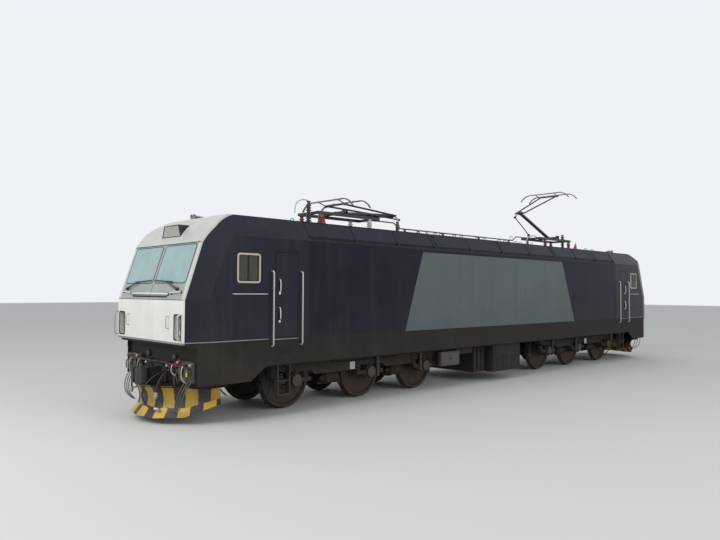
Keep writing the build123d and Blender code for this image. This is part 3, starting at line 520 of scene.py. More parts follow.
def half_round(width, height, steps=7):
    """Half an ellipse standing on its flat."""
    angle = np.linspace(0, np.pi, steps)
    return np.stack((width / 2 * np.cos(angle), height * np.sin(angle)), axis=-1)


def lipped(width, low, high):
    """Four-cornered section of a rim, from one level to another."""
    return np.array([(width, low), (width, high), (0.0, high), (0.0, low)])


def coil(foot, radius, height, wire, turns, sides=8):
    """Coil spring: its wire runs round (radius cos a, radius sin a) and climbs, its ends laid flat."""
    share = np.linspace(0, 1, int(turns * 18))
    angle = 2 * np.pi * turns * share
    climb = np.clip((share * (turns + 1.0) - 0.5) / turns, 0, 1)
    way = np.stack((radius * np.cos(angle), radius * np.sin(angle), wire + climb * (height - 2 * wire)),
                   axis=-1)
    return tube(np.asarray(foot, float) + way, wire, sides)


def ribbed_post(foot, height, radius, sheds, core=0.6):
    """Ribbed insulator: a core whose sheds slope out and down, between two metal ends."""
    pitch = height / (sheds + 1.5)
    steps = (0.75 + np.arange(sheds))[:, None] * pitch
    heights = (steps + pitch * np.array([[-0.12, 0.0, 0.1, 0.62]])).ravel()
    reaches = np.tile((core * radius, radius, radius, core * radius), sheds)
    profile = [(0.85 * radius, 0.0), (0.85 * radius, 0.35 * pitch), (core * radius, 0.4 * pitch)]
    profile += list(zip(reaches, heights))
    profile += [(core * radius, height - 0.4 * pitch), (0.7 * radius, height - 0.35 * pitch),
                (0.7 * radius, height)]
    return lathe(profile, foot, UPWARD, 20)


def bolt(foot, axis, radius=0.012, height=0.010):
    """Bolt head with six sides and a small chamfer."""
    return lathe([(radius, 0.0), (radius, 0.7 * height), (0.75 * radius, height)], foot, axis, 6)


def make_piece(name, part, finish, body="car_body", replaced=(), bevel=0.0, sharp=35.0, solid=0.0):
    """One piece of the scene from a part: its mesh, finish, body and the CAD nodes it replaces."""
    points, faces = part
    mesh = bpy.data.meshes.new(name)
    mesh.from_pydata(points.tolist(), [], [face for corners in faces for face in corners.tolist()])
    shell = bmesh.new()
    shell.from_mesh(mesh)
    bmesh.ops.recalc_face_normals(shell, faces=shell.faces)
    shell.to_mesh(mesh)
    shell.free()
    mesh.shade_smooth()
    mesh.set_sharp_from_angle(angle=np.radians(sharp))
    mesh.materials.append(finishes[finish])
    piece = bpy.data.objects.new(name, mesh)
    bpy.context.scene.collection.objects.link(piece)
    if solid:
        thicker = piece.modifiers.new("thickness", "SOLIDIFY")
        thicker.thickness = solid
        thicker.offset = -1.0
    if bevel:
        edge = piece.modifiers.new("edges", "BEVEL")
        edge.width = bevel
        edge.segments = 2
        edge.limit_method = "ANGLE"
    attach(piece, body)
    if replaced:
        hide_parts(*replaced)
    return piece


# Air hoses of the ends, from their cocks to their rests on the pilot

HOSE_RADIUS = 0.018
SIDE_HOSE = [(9.835, 0.560, 1.010), (9.930, 0.560, 1.010), (10.060, 0.561, 0.965),
             (10.150, 0.562, 0.860), (10.205, 0.558, 0.720), (10.207, 0.540, 0.588)]
BRAKE_HOSE = [(9.835, 0.330, 0.985), (9.940, 0.328, 0.985), (10.090, 0.322, 0.930),
              (10.230, 0.300, 0.830), (10.325, 0.255, 0.698), (10.345, 0.222, 0.573),
              (10.325, 0.228, 0.453), (10.290, 0.292, 0.358), (10.240, 0.390, 0.308),
              (10.190, 0.490, 0.298)]
HOSES = [
    # name, route, real length
    ("left", SIDE_HOSE, 0.646),
    ("right", [(x, -y, z) for x, y, z in SIDE_HOSE], 0.646),
    ("brake", BRAKE_HOSE, 1.196),
]


def make_hose(name, route):
    """Hose on a smooth curve led by its route, from the cock to the rest."""
    line = bpy.data.curves.new(name, "CURVE")
    line.dimensions = "3D"
    line.bevel_depth = HOSE_RADIUS
    line.bevel_resolution = 4
    line.resolution_u = 10
    line.use_fill_caps = True
    spline = line.splines.new("NURBS")
    spline.points.add(len(route) - 1)
    spline.points.foreach_set("co", np.column_stack((route, np.ones(len(route)))).ravel())
    spline.order_u = 3
    spline.use_endpoint_u = True
    line.materials.append(finishes["hose_rubber"])
    piece = bpy.data.objects.new(name, line)
    bpy.context.scene.collection.objects.link(piece)
    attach(piece, "car_body")


def make_hoses():
    """The three hoses of each end, the rear ones half a turn round."""
    for name, route, length in HOSES:
        make_hose(f"air_hose_{name}_front", route)
        make_hose(f"air_hose_{name}_rear", [(-x, -y, z) for x, y, z in route])


# Front of the cabs: seals, wipers, bars, lamps and windows

LEAN = np.arctan2(NOSE - GLASS_TOP_PLACE, GLASS_TOP - NOSE_TOP)
GLASS_NORMAL = np.array([np.cos(LEAN), 0.0, np.sin(LEAN)])
GLASS_UP = np.array([-np.sin(LEAN), 0.0, np.cos(LEAN)])


def on_glass(across, height, proud=0.0):
    """Point of the leaning front at a place across and a height, lifted square to it."""
    return np.array([NOSE - (height - NOSE_TOP) * np.tan(LEAN), across, height]) + proud * GLASS_NORMAL


def brow_circle():
    """Middle and radius of the brow's arc in the side view, from three points of it."""
    points = np.array([(GLASS_TOP_PLACE, GLASS_TOP), (9.480, RAIL + 3.810), (8.900, RAIL + 4.100)])
    sums = (points ** 2).sum(axis=1)
    middle = np.linalg.solve(2 * (points[1:] - points[0]), sums[1:] - sums[0])
    return middle, np.linalg.norm(points[0] - middle)


BROW_MIDDLE, BROW_RADIUS = brow_circle()


def brow_reach(height):
    """Place along of the brow's surface at a height."""
    return BROW_MIDDLE[0] + np.sqrt(BROW_RADIUS ** 2 - (height - BROW_MIDDLE[1]) ** 2)


def tapered(low, high, half_low, half_high, steps=10):
    """Outline of (across, height) that narrows upwards, with as many points on each of its sides."""
    corners = np.array([(-half_low, low), (half_low, low), (half_high, high), (-half_high, high)])
    share = np.linspace(0, 1, steps, endpoint=False)[None, :, None]
    return (corners[:, None] + share * (np.roll(corners, -1, axis=0) - corners)[:, None]).reshape(-1, 2)


def make_windscreen_trim():
    """Panes with the rubber round them, and the thin black joints above and below."""
    pane_middle = (PANE_INNER + PANE_OUTER) / 2
    middle_height = (PANE_BOTTOM + PANE_TOP) / 2
    outline = rounded(PANE_OUTER - PANE_INNER, (PANE_TOP - PANE_BOTTOM) / np.cos(LEAN), 0.062)
    pane = slab(outline, on_glass(pane_middle, middle_height, -0.008), ACROSS, GLASS_UP, 0.011)
    make_piece("windscreen_panes", at_corners(pane), "glass", replaced=["windscreens"])
    seal = band(outline, on_glass(pane_middle, middle_height, -0.004), ACROSS, GLASS_UP,
                half_round(0.020, 0.012))
    joints = joined(slab(rounded(2.796, 0.016, 0.004, 2), on_glass(0.0, GLASS_TOP + 0.004, -0.010),
                         ACROSS, GLASS_UP, 0.014),
                    slab(rounded(2.830, 0.010, 0.004, 2), on_glass(0.0, NOSE_TOP + 0.008, -0.010),
                         ACROSS, GLASS_UP, 0.012),
                    slab(rounded(0.012, 0.300, 0.004, 2), on_glass(0.0, NOSE_TOP + 0.175, -0.010),
                         ACROSS, GLASS_UP, 0.0115))
    make_piece("windscreen_seals", both_ends(joined(both_sides(seal), joints)), "rubber_and_painted_shadow")


def make_wipers():
    """A wiper on each pane: boss, arm with its spring cover, and a blade with a rubber edge."""
    proud = 0.034
    pivot = on_glass(1.090, NOSE_TOP + 0.208)
    blade_start = on_glass(0.062, NOSE_TOP + 0.376, proud)
    blade_end = on_glass(0.830, NOSE_TOP + 0.342, proud)
    grip = blade_start + 0.72 * (blade_end - blade_start)
    lifted = pivot + proud * GLASS_NORMAL
    elbow = lifted + 0.35 * (grip - lifted) + 0.012 * GLASS_NORMAL
    parts = joined(lathe([(0.034, 0.0), (0.034, 0.020), (0.024, 0.026), (0.024, 0.046), (0.015, 0.052)],
                         pivot, GLASS_NORMAL),
                   tube([lifted, elbow, grip], np.array([0.014, 0.011, 0.006]), 8, GLASS_NORMAL),
                   tube([lifted, elbow, grip] - 0.030 * GLASS_UP, np.array([0.006, 0.005, 0.005]), 6,
                        GLASS_NORMAL), rod(blade_start, blade_end, 0.009, 8),
                   rod(blade_start - 0.014 * GLASS_NORMAL, blade_end - 0.014 * GLASS_NORMAL, 0.006, 6),
                   rod(grip - 0.016 * GLASS_NORMAL, grip + 0.010 * GLASS_NORMAL, 0.014, 8))
    make_piece("wiper_arms", at_corners(parts), "black_trim", replaced=["wipers"])


def make_nose_bars():
    """White bars below the windscreens: a long one in the middle and a short one near each corner, with
    a strip of painted shadow under the long one.
    """
    height, bar_end, corner_start, corner_end = NOSE_TOP + 0.106, 0.775, 0.890, 1.250
    middle = eased([on_glass(-bar_end, height), on_glass(-bar_end, height, 0.060),
                    on_glass(bar_end, height, 0.060), on_glass(bar_end, height)])
    corner = eased([on_glass(corner_start, height + 0.020),
                    on_glass(corner_start, height + 0.020, 0.050),
                    on_glass(corner_end, height + 0.045, 0.050), on_glass(corner_end, height + 0.045)])
    bars = joined(tube(middle, 0.015, 10, GLASS_UP), both_sides(tube(corner, 0.010, 8, GLASS_UP)))
    make_piece("nose_bars", both_ends(bars), "bar_white")
    feet = [lathe([(0.032, 0.0), (0.032, 0.006), (0.022, 0.010)], on_glass(across, rise), GLASS_NORMAL,
                  14)
            for across, rise in ((bar_end, height), (corner_start, height + 0.020),
                                 (corner_end, height + 0.045))]
    # painted shadow: a thin dark strip under the middle bar, drawn in the rubber finish
    shadow = slab(rounded(1.500, 0.030, 0.010, 3), on_glass(0.0, height - 0.045, -0.004), ACROSS,
                  GLASS_UP, 0.006)
    make_piece("nose_bar_feet_and_shadow", both_ends(joined(both_sides(joined(*feet)), shadow)), "rubber_and_painted_shadow")


def make_headlamps():
    """Headlamp wedge in the brow: cover plate on the brow's curve, housing, pane and two lamps."""
    low, high, half_low, half_high = 3.643, 3.890, 0.400, 0.300
    lamp_back, lamps = 9.460, (-0.165, 0.165)
    front = float(brow_reach(low)) + 0.004
    opening = tapered(low, high, half_low, half_high)
    plate_edge = tapered(low - 0.020, high + 0.080, 0.435, 0.400)
    share = np.linspace(0, 1, 5)[:, None, None]
    flat = opening[None] + share * (plate_edge - opening)[None]
    plate = np.stack((brow_reach(flat[..., 1]) + 0.004, flat[..., 0], flat[..., 1]), axis=-1)
    make_piece("headlamp_cover", both_ends(grid(plate, close_columns=True)), "surround_silver",
               replaced=["headlamps"], solid=0.006)
    inner = opening * (0.94, 1.0)
    inner[:, 1] = low + 0.016 + (inner[:, 1] - low) * (high - low - 0.030) / (high - low)
    back = np.full(len(opening), lamp_back)
    outer_back = np.minimum(brow_reach(opening[:, 1]) - 0.030, front - 0.030)
    rim = np.full(len(opening), front)
    housing = np.stack([
        np.column_stack((place, outline))
        for place, outline in ((outer_back, opening), (rim, opening), (rim, inner), (back, inner))
    ])
    back_plate = slab(inner, (lamp_back - 0.010, 0.0, 0.0), ACROSS, UPWARD, 0.012)
    make_piece("headlamp_housing", both_ends(grid(housing, close_columns=True)), "black_trim",
               replaced=["headlamps"], solid=0.004)
    make_piece("headlamp_backs", both_ends(back_plate), "liner_pale",
               replaced=["headlamps"])
    lamp_height = low + 0.120
    bowls = [lathe([(0.050, 0.0), (0.088, 0.060), (0.092, 0.085), (0.082, 0.088), (0.045, 0.020)],
                   (front - 0.135, across, lamp_height), ALONG, 28) for across in lamps]
    make_piece("headlamp_reflectors", both_ends(joined(*bowls)), "reflector",
               replaced=["headlamps"])
    lenses = [lathe([(0.080, 0.0), (0.080, 0.006), (0.060, 0.014), (0.030, 0.019), (0.006, 0.020)],
                    (front - 0.052, across, lamp_height), ALONG, 28) for across in lamps]
    make_piece("headlamp_lenses", both_ends(joined(*lenses)), "lamp_glass",
               replaced=["headlamps"])
    pane = slab(inner, (front - 0.014, 0.0, 0.0), ACROSS, UPWARD, 0.006)
    make_piece("headlamp_pane", both_ends(pane), "lamp_pane", replaced=["headlamps"])


def make_marker_lamps():
    """Lamp clusters of the nose: a lined recess with a rubber rim, and one round lamp above another."""
    middle, height = 1.210, (LAMP_BOX_BOTTOM + LAMP_BOX_TOP) / 2
    tall = LAMP_BOX_TOP - LAMP_BOX_BOTTOM
    outline = rounded(0.258, tall - 0.002, 0.030)
    liner = band(outline, (NOSE - 0.150, middle, height), ACROSS, UPWARD, lipped(-0.012, 0.0, 0.146))
    back = slab(rounded(0.246, tall - 0.014, 0.024), (NOSE - 0.156, middle, height), ACROSS, UPWARD,
                0.012)
    make_piece("marker_lamp_boxes", at_corners(joined(liner, back)), "liner_pale",
               replaced=["marker_lamps"])
    rim = band(rounded(0.262, tall + 0.002, 0.034), (NOSE, middle, height), ACROSS, UPWARD,
               half_round(0.034, 0.008))
    make_piece("marker_lamp_rims", at_corners(rim), "rubber_and_painted_shadow")
    places = (LAMP_BOX_BOTTOM + 0.120, LAMP_BOX_TOP - 0.120)
    rings = [lathe([(0.088, 0.0), (0.088, 0.040), (0.084, 0.070), (0.080, 0.070), (0.070, 0.050),
                    (0.030, 0.020)], (NOSE - 0.146, middle, place), ALONG, 26)
             for place in places]
    foot = block((NOSE - 0.140, middle - 0.110, LAMP_BOX_BOTTOM + 0.004),
                 (NOSE - 0.030, middle + 0.110, LAMP_BOX_BOTTOM + 0.020))
    make_piece("marker_lamp_rings", at_corners(joined(*rings)), "black_trim",
               replaced=["marker_lamps"])
    make_piece("marker_lamp_feet", at_corners(foot), "bar_white",
               replaced=["marker_lamps"])
    dome = [(0.077, 0.0), (0.077, 0.010), (0.066, 0.022), (0.044, 0.031), (0.018, 0.035),
            (0.004, 0.0355)]
    for name, place, finish in (("lower", places[0], "lens_white"), ("upper", places[1], "lens_clear")):
        lens = lathe(dome, (NOSE - 0.092, middle, place), ALONG, 26)
        make_piece(f"marker_lenses_{name}", at_corners(lens), finish,
                   replaced=["marker_lamps"])


def make_side_windows():
    """Cab side windows: a light frame standing proud, a rubber lip and dark glass in two parts."""
    width, height = WINDOW_FRONT - WINDOW_REAR, WINDOW_TOP - WINDOW_BOTTOM
    middle = ((WINDOW_FRONT + WINDOW_REAR) / 2, HALF_WIDTH, (WINDOW_TOP + WINDOW_BOTTOM) / 2)
    rim = band(rounded(width, height, 0.060), middle, BACKWARD, UPWARD,
               [(-0.034, -0.060), (0.004, -0.060), (0.004, 0.006), (-0.004, 0.013), (-0.028, 0.013),
                (-0.034, 0.008)])
    make_piece("side_window_frames", at_corners(rim), "frame_beige",
               replaced=["cab_side_windows"])
    lip = band(rounded(width - 0.070, height - 0.070, 0.028), np.subtract(middle, (0, 0.006, 0)),
               BACKWARD, UPWARD, half_round(0.012, 0.008))
    outer_lip = band(rounded(width + 0.012, height + 0.012, 0.066), middle, BACKWARD, UPWARD,
                     half_round(0.012, 0.005))
    bar = slab(rounded(0.022, height - 0.070, 0.004, 2), np.subtract(middle, (0, 0.012, 0)), BACKWARD,
               UPWARD, 0.008)
    make_piece("side_window_lips", at_corners(joined(lip, outer_lip, bar)), "rubber_and_painted_shadow")
    glass = slab(rounded(width - 0.066, height - 0.066, 0.030), np.subtract(middle, (0, 0.030, 0)),
                 BACKWARD, UPWARD, 0.008)
    make_piece("side_window_glass", at_corners(glass), "side_glass",
               replaced=["cab_side_windows"])


# Body sides and roof

SIDE_CORNER = np.array([0.0, HALF_WIDTH, CANT])
ROOF_CORNER = np.array([0.0, ROOF_EDGE, ROOF_EDGE_HEIGHT])
CANT_UP = unit(ROOF_CORNER - SIDE_CORNER)
CANT_NORMAL = np.cross(CANT_UP, BACKWARD)
CANT_LENGTH = float(np.linalg.norm(ROOF_CORNER - SIDE_CORNER))


def on_cant(along, share, proud=0.0):
    """Point of the sloping cant at a share of the way from the side wall to the roof's edge."""
    slope = SIDE_CORNER + share * (ROOF_CORNER - SIDE_CORNER)
    return np.array([along, 0.0, 0.0]) + slope + proud * CANT_NORMAL


def on_roof(along, across, proud=0.0):
    """Points of the arched roof: its height falls with the square of the place across."""
    along, across = np.broadcast_arrays(along, across)
    height = ROOF_CROWN - (ROOF_CROWN - ROOF_EDGE_HEIGHT) * (across / ROOF_EDGE) ** 2 + proud
    return np.stack((along, across, height), axis=-1)


def make_body_trim():
    """Waist strips, thresholds, drip rails and footholds of the cabs, and the nose's flange; each
    foothold is a flat dark sheet of painted shade.
    """
    side_strip = block((8.330, HALF_WIDTH - 0.004, FLOOR - 0.006),
                       (9.672, HALF_WIDTH + 0.006, FLOOR + 0.010), 0.002)
    corner, tip = np.array([9.680, HALF_WIDTH, FLOOR]), np.array([10.118, 1.427, FLOOR])
    facet_strip = slab(rounded(float(np.linalg.norm(tip - corner)), 0.016, 0.003, 2),
                       (corner + tip) / 2 + (0.0, -0.004, 0.002), corner - tip, UPWARD, 0.010)
    threshold = block((7.580, HALF_WIDTH - 0.002, FLOOR - 0.020),
                      (8.200, HALF_WIDTH + 0.026, FLOOR - 0.004))
    drip = block((7.540, HALF_WIDTH - 0.002, 3.392), (8.240, HALF_WIDTH + 0.014, 3.404))
    make_piece("waist_strips", at_corners(joined(side_strip, facet_strip, threshold)), "trim_steel")
    lower_edge = slab(rounded(2.840, 0.050, 0.012, 3), (NOSE - 0.052, 0.0, FLOOR - 0.014), ACROSS,
                      UPWARD, 0.050)
    make_piece("nose_flanges", both_ends(lower_edge), "trim_steel", bevel=0.004)
    make_piece("drip_rails", at_corners(drip), "body_blue")
    # painted shade: each foothold is a flat dark sheet on the wall, standing for the shade in its recess
    recess = slab(rounded(0.380, 0.160, 0.020, 4), (7.930, HALF_WIDTH + 0.003, 1.368), BACKWARD, UPWARD,
                  -0.010)
    make_piece("footholds", at_corners(recess), "shadow_black")


def make_door_handles():
    """Two pale pull handles on each cab door, one above the other, each with a small plate of the same
    finish under its lower end.
    """
    pulls = [bent([(x, HALF_WIDTH - 0.006, z + 0.130), (x, HALF_WIDTH + 0.030, z + 0.110),
                   (x, HALF_WIDTH + 0.030, z - 0.110), (x, HALF_WIDTH - 0.006, z - 0.130)], 0.012, 8,
                  ALONG)
             for x, z in DOOR_HANDLES]
    pulls += [block((x - 0.022, HALF_WIDTH - 0.006, z - 0.175),
                    (x + 0.022, HALF_WIDTH + 0.004, z - 0.120))
              for x, z in DOOR_HANDLES]
    handles = joined(*pulls)
    for body, part in (
        ("door_front_left", handles), ("door_front_right", mirrored(handles)),
        ("door_rear_right", turned(handles)), ("door_rear_left", turned(mirrored(handles))),
    ):
        make_piece(f"handles_{body}", part, "bar_white", body)


def make_roof_trim():
    """Ribs at the hatch joints, gutters drawn as thin strips of painted shade with their bolts, and
    covers along the roof's middle.
    """
    double_joint = 3.030
    joints = (7.240, 5.880, 4.460, double_joint, 1.515, 0.0)
    ribs = [slab(rounded(0.016, CANT_LENGTH - 0.110, 0.004, 2), on_cant(place + offset, 0.56), BACKWARD,
                 CANT_UP, 0.009)
            for place in joints
            for offset in ((-0.075, 0.075) if place == double_joint else (0.0,))]
    edge = slab(rounded(2 * 7.280, 0.012, 0.003, 2), on_cant(0.0, 0.985), BACKWARD, CANT_UP, 0.006)
    # painted shade: a thin dark strip at the foot of each cant stands for the gutters
    gutter_shade = slab(rounded(2 * 7.100, 0.030, 0.006, 2), on_cant(0.0, 0.075), BACKWARD, CANT_UP, 0.004)
    make_piece("gutters", both_sides(gutter_shade), "shadow_black")
    make_piece("roof_ribs", at_corners(joined(*ribs, edge)), "roof_blue")
    places = np.arange(-7.05, 7.1, 0.47)
    bolts = [bolt(on_cant(place, 0.035), CANT_NORMAL) for place in places]
    make_piece("gutter_bolts", both_sides(joined(*bolts)), "bolt_steel")
    covers = []
    for start, end in ((2.05, 2.95), (1.20, 1.98), (0.10, 1.05), (6.55, 7.20)):
        way, across = np.linspace(start, end, 4)[:, None], np.linspace(-0.85, 0.85, 14)[None, :]
        covers.append(grid(on_roof(way, across, 0.014)))
    make_piece("roof_covers", both_ends(joined(*covers)), "roof_blue", solid=0.012)
    eyes = [bent([(x, y - 0.05, 4.130), (x, y - 0.05, 4.190), (x, y + 0.05, 4.190),
                  (x, y + 0.05, 4.130)], 0.008, 8, ALONG)
            for x in (2.15, 2.85, 1.28, 1.90, 0.20, 0.95, 6.62, 7.13)
            for y in (-0.72, 0.72)]
    make_piece("roof_eyes", both_ends(joined(*eyes)), "roof_blue")


def make_roof_insulators():
    """Brown and pale insulators under the pantographs and the bus, arresters, and their leads."""
    white_base = 4.350
    base_posts = {(x, y): ribbed_post((x, y, PAD_TOP), BASE_BOTTOM - PAD_TOP, radius=0.075, sheds=4)
                  for x in (-6.000, -4.350, white_base, 6.000) for y in (-0.360, 0.360)}
    bus_posts = [ribbed_post((x, 0.0, PAD_TOP), BUS_BOTTOM - PAD_TOP, radius=0.060, sheds=3)
                 for x in (2.600, 0.900)]
    brown = [post for (x, y), post in base_posts.items() if x != white_base]
    make_piece("insulators", joined(*brown, both_ends(joined(*bus_posts))), "insulator",
               replaced=["roof_insulators"])
    dark = [ribbed_post((6.220, 0.180, ROOF_CROWN), 0.600, radius=0.072, sheds=8, core=0.55),
            ribbed_post((-6.220, 0.0, ROOF_CROWN), 0.600, radius=0.072, sheds=8, core=0.55),
            ribbed_post((3.420, 0.480, 4.100), 0.320, radius=0.060, sheds=4)]
    make_piece("arresters", joined(*dark), "arrester_brown")
    pale = [ribbed_post((x, 0.0, ROOF_CROWN), BUS_BOTTOM - ROOF_CROWN, radius=0.062, sheds=3)
            for x in (2.030, 1.640)]
    make_piece("white_posts",
               joined(*pale, *[post for (x, y), post in base_posts.items() if x == white_base]),
               "porcelain_white", replaced=["roof_insulators"])
    lead = bent([(6.220, 0.180, 4.728), (6.420, 0.180, 4.760), (6.620, 0.180, 4.640),
                 (6.640, 0.180, 4.400)], 0.013, 8, ACROSS)
    loop = bent([(3.420, 0.480, 4.420), (3.420, 0.480, 4.500), (3.200, 0.300, 4.520),
                 (2.900, 0.040, 4.440), (2.800, 0.000, 4.330)], 0.012, 8, ACROSS)
    arc = bent([(-3.500, 0.120, 4.140), (-3.560, 0.120, 4.480), (-4.000, 0.120, 4.560),
                (-4.300, 0.120, 4.480)], 0.016, 8, ACROSS)
    make_piece("roof_leads", joined(lead, loop, turned(loop), arc), "lead_pale")


def make_roof_equipment():
    """Cooler box with slots and a pair of horns on each cab, and the two red marker plates."""
    cooler = block((7.950, -0.550, 4.090), (8.700, 0.550, 4.168), 0.030)
    louvres = [block((8.313 + step * 0.090, -0.430, 4.160), (8.337 + step * 0.090, 0.430, 4.182), 0.003)
               for step in range(-3, 4)]
    make_piece("roof_coolers", both_ends(joined(cooler, *louvres)), "roof_dark",
               bevel=0.006)
    horns = [lathe([(0.016, 0.0), (0.018, 0.090), (0.026, 0.160), (0.040, 0.210), (0.058, 0.235),
                    (0.052, 0.232), (0.022, 0.160)], (8.600, across, 4.192), ALONG, 20)
             for across in (-0.700, -0.580)]
    stands = [block((8.594, across - 0.016, 4.090), (8.626, across + 0.016, 4.184))
              for across in (-0.700, -0.580)]
    make_piece("roof_horns", both_ends(joined(*horns, *stands)), "lead_metal")
    outline = np.array([(-0.220, 0.0), (0.220, 0.0), (-0.100, 0.370)])
    plates = [slab(outline, (place, 0.005, 4.126), ALONG, UPWARD, 0.010) for place in (5.700, -7.150)]
    make_piece("marker_plates", joined(*plates), "marker_red")


# Ends: pilot, coupler, pipes and sockets

PILOT_TIP = 10.350
PILOT_THICKNESS = 0.020
PILOT_STATIONS = np.array([
    # behind the tip, across, outward turn in degrees,
    # set back at the top, middle and foot, heights of foot and lip
    (1.080, -1.320, -60.4, 0.000, 0.075, 0.070, 0.460, 0.360),
    (0.500, -0.990, -49.8, 0.040, 0.150, 0.130, 0.285, 0.130),
    (0.100, -0.500, -25.3, 0.040, 0.160, 0.140, 0.280, 0.100),
    (0.000, 0.000, 0.0, 0.040, 0.160, 0.140, 0.280, 0.110),
    (0.100, 0.500, 25.3, 0.040, 0.160, 0.140, 0.280, 0.100),
    (0.500, 0.990, 49.8, 0.040, 0.150, 0.130, 0.285, 0.130),
    (1.080, 1.320, 60.4, 0.000, 0.075, 0.070, 0.460, 0.360),
])


def make_pilots():
    """Striped plough: a hollow face, curved from top through lead to foot, over a blade and a lip."""
    share = np.linspace(0, len(PILOT_STATIONS) - 1, 61)
    columns = [np.interp(share, np.arange(len(PILOT_STATIONS)), column) for column in PILOT_STATIONS.T]
    back, across, turn, top, middle, foot, foot_height, lip_height = np.array(columns)[:, :, None]
    turn = np.radians(turn)
    foot_level, lip_level = RAIL + foot_height, RAIL + lip_height
    t = np.linspace(0, 1, 9)[None, :]
    lead = 2 * middle - (top + foot) / 2
    hollow = (1 - t) ** 2 * top + 2 * t * (1 - t) * lead + t ** 2 * foot
    rise = PILOT_TOP + t * (foot_level - PILOT_TOP)
    deep = hollow[:, ::-1] + PILOT_THICKNESS
    outwards = -np.concatenate((hollow, 0 * foot, 0 * foot + 1.5 * PILOT_THICKNESS, deep), axis=1)
    height = np.concatenate((rise, lip_level, lip_level, rise[:, ::-1]), axis=1)
    points = np.stack((PILOT_TIP - back + outwards * np.cos(turn), across + outwards * np.sin(turn),
                       height), axis=-1)
    plough = grid(points, close_columns=True, ends=True)
    shelf = slab([(9.280, -1.280), (9.830, -0.950), (10.210, -0.480), (10.290, 0.0), (10.210, 0.480),
                  (9.830, 0.950), (9.280, 1.280)], (0.0, 0.0, PILOT_TOP - 0.026), ALONG, ACROSS, 0.020)
    apron = slab([(9.180, -1.380), (9.560, -1.380), (9.800, -1.200), (9.800, 1.200), (9.560, 1.380),
                  (9.180, 1.380)], (0.0, 0.0, PILOT_TOP - 0.016), ALONG, ACROSS, 0.090)
    piece = make_piece("pilot_ploughs", both_ends(plough), "pilot_stripes",
                       replaced=["pilots"], sharp=28.0)
    length = np.hypot(np.gradient(columns[0]), np.gradient(columns[1]))
    width_way = np.cumsum(length) - np.cumsum(length)[len(length) // 2]
    blade_way = np.tile(np.isin(np.arange(points.shape[1]), (9, 10)), len(share))
    for label, values in (("width_way", np.repeat(width_way, points.shape[1])),
                          ("blade_way", blade_way)):
        layer = piece.data.attributes.new(label, "FLOAT", "POINT")
        layer.data.foreach_set("value", np.tile(values, 2).astype(np.float32))
    # painted shade: the shelf and apron under the end are drawn in the shadow black
    make_piece("pilot_shelves", both_ends(joined(shelf, apron)), "shadow_black",
               replaced=["pilots"])


def make_couplers():
    """Knuckle coupler: head with guard arm and knuckle, pin, shank, striker plate and opening rod."""
    head = np.array([(9.815, -0.075), (10.120, -0.075), (10.175, -0.150), (10.240, -0.198),
                     (10.330, -0.208), (10.392, -0.172), (10.408, -0.120), (10.385, -0.084),
                     (10.330, -0.088), (10.302, -0.050), (10.300, -0.010), (10.330, 0.026),
                     (10.385, 0.036), (10.420, 0.060), (10.422, 0.100), (10.400, 0.140), (10.340, 0.190),
                     (10.240, 0.196), (10.175, 0.150), (10.120, 0.075), (9.815, 0.075)])
    shank = slab(head, (0.0, 0.0, COUPLER - 0.150), ALONG, ACROSS, 0.300)
    plate_face, lever_face, lever_height = 9.872, 9.960, 1.158
    striker = block((END_FACE, -0.230, COUPLER - 0.170), (plate_face, 0.230, COUPLER + 0.170), 0.006)
    rim = band(rounded(0.300, 0.300, 0.050), (plate_face, 0.0, COUPLER), ACROSS, UPWARD,
               lipped(0.040, 0.0, 0.024))
    make_piece("coupler_heads", both_ends(joined(shank, striker, rim)), "coupler_iron",
               replaced=["couplers"], bevel=0.012)
    pin = lathe([(0.032, 0.0), (0.032, 0.350), (0.042, 0.352), (0.042, 0.372), (0.030, 0.378)],
                (10.333, 0.140, COUPLER - 0.165), UPWARD)
    carrier = block((9.870, -0.150, COUPLER - 0.200), (lever_face, 0.150, COUPLER - 0.155), 0.010)
    bolts = [bolt((plate_face, y, COUPLER + z), ALONG, 0.016, 0.014)
             for y in (-0.205, 0.205)
             for z in (-0.140, 0.0, 0.140)]
    opener = [bent([(lever_face, -1.380, 0.900), (lever_face, -1.380, lever_height),
                    (lever_face, 1.380, lever_height), (lever_face, 1.380, 0.900)], 0.012, 8, ALONG),
              tube([(lever_face, 0.140, lever_height), (10.180, 0.140, 1.150), (10.330, 0.140, 1.060)],
                   0.010, 8),
              *[block((END_FACE, y - 0.012, 1.140), (9.972, y + 0.012, 1.176))
                for y in (-1.150, -0.420, 0.420, 1.150)],]
    make_piece("coupler_fittings", both_ends(joined(pin, carrier, *bolts, *opener)), "end_iron",
               replaced=["couplers"])


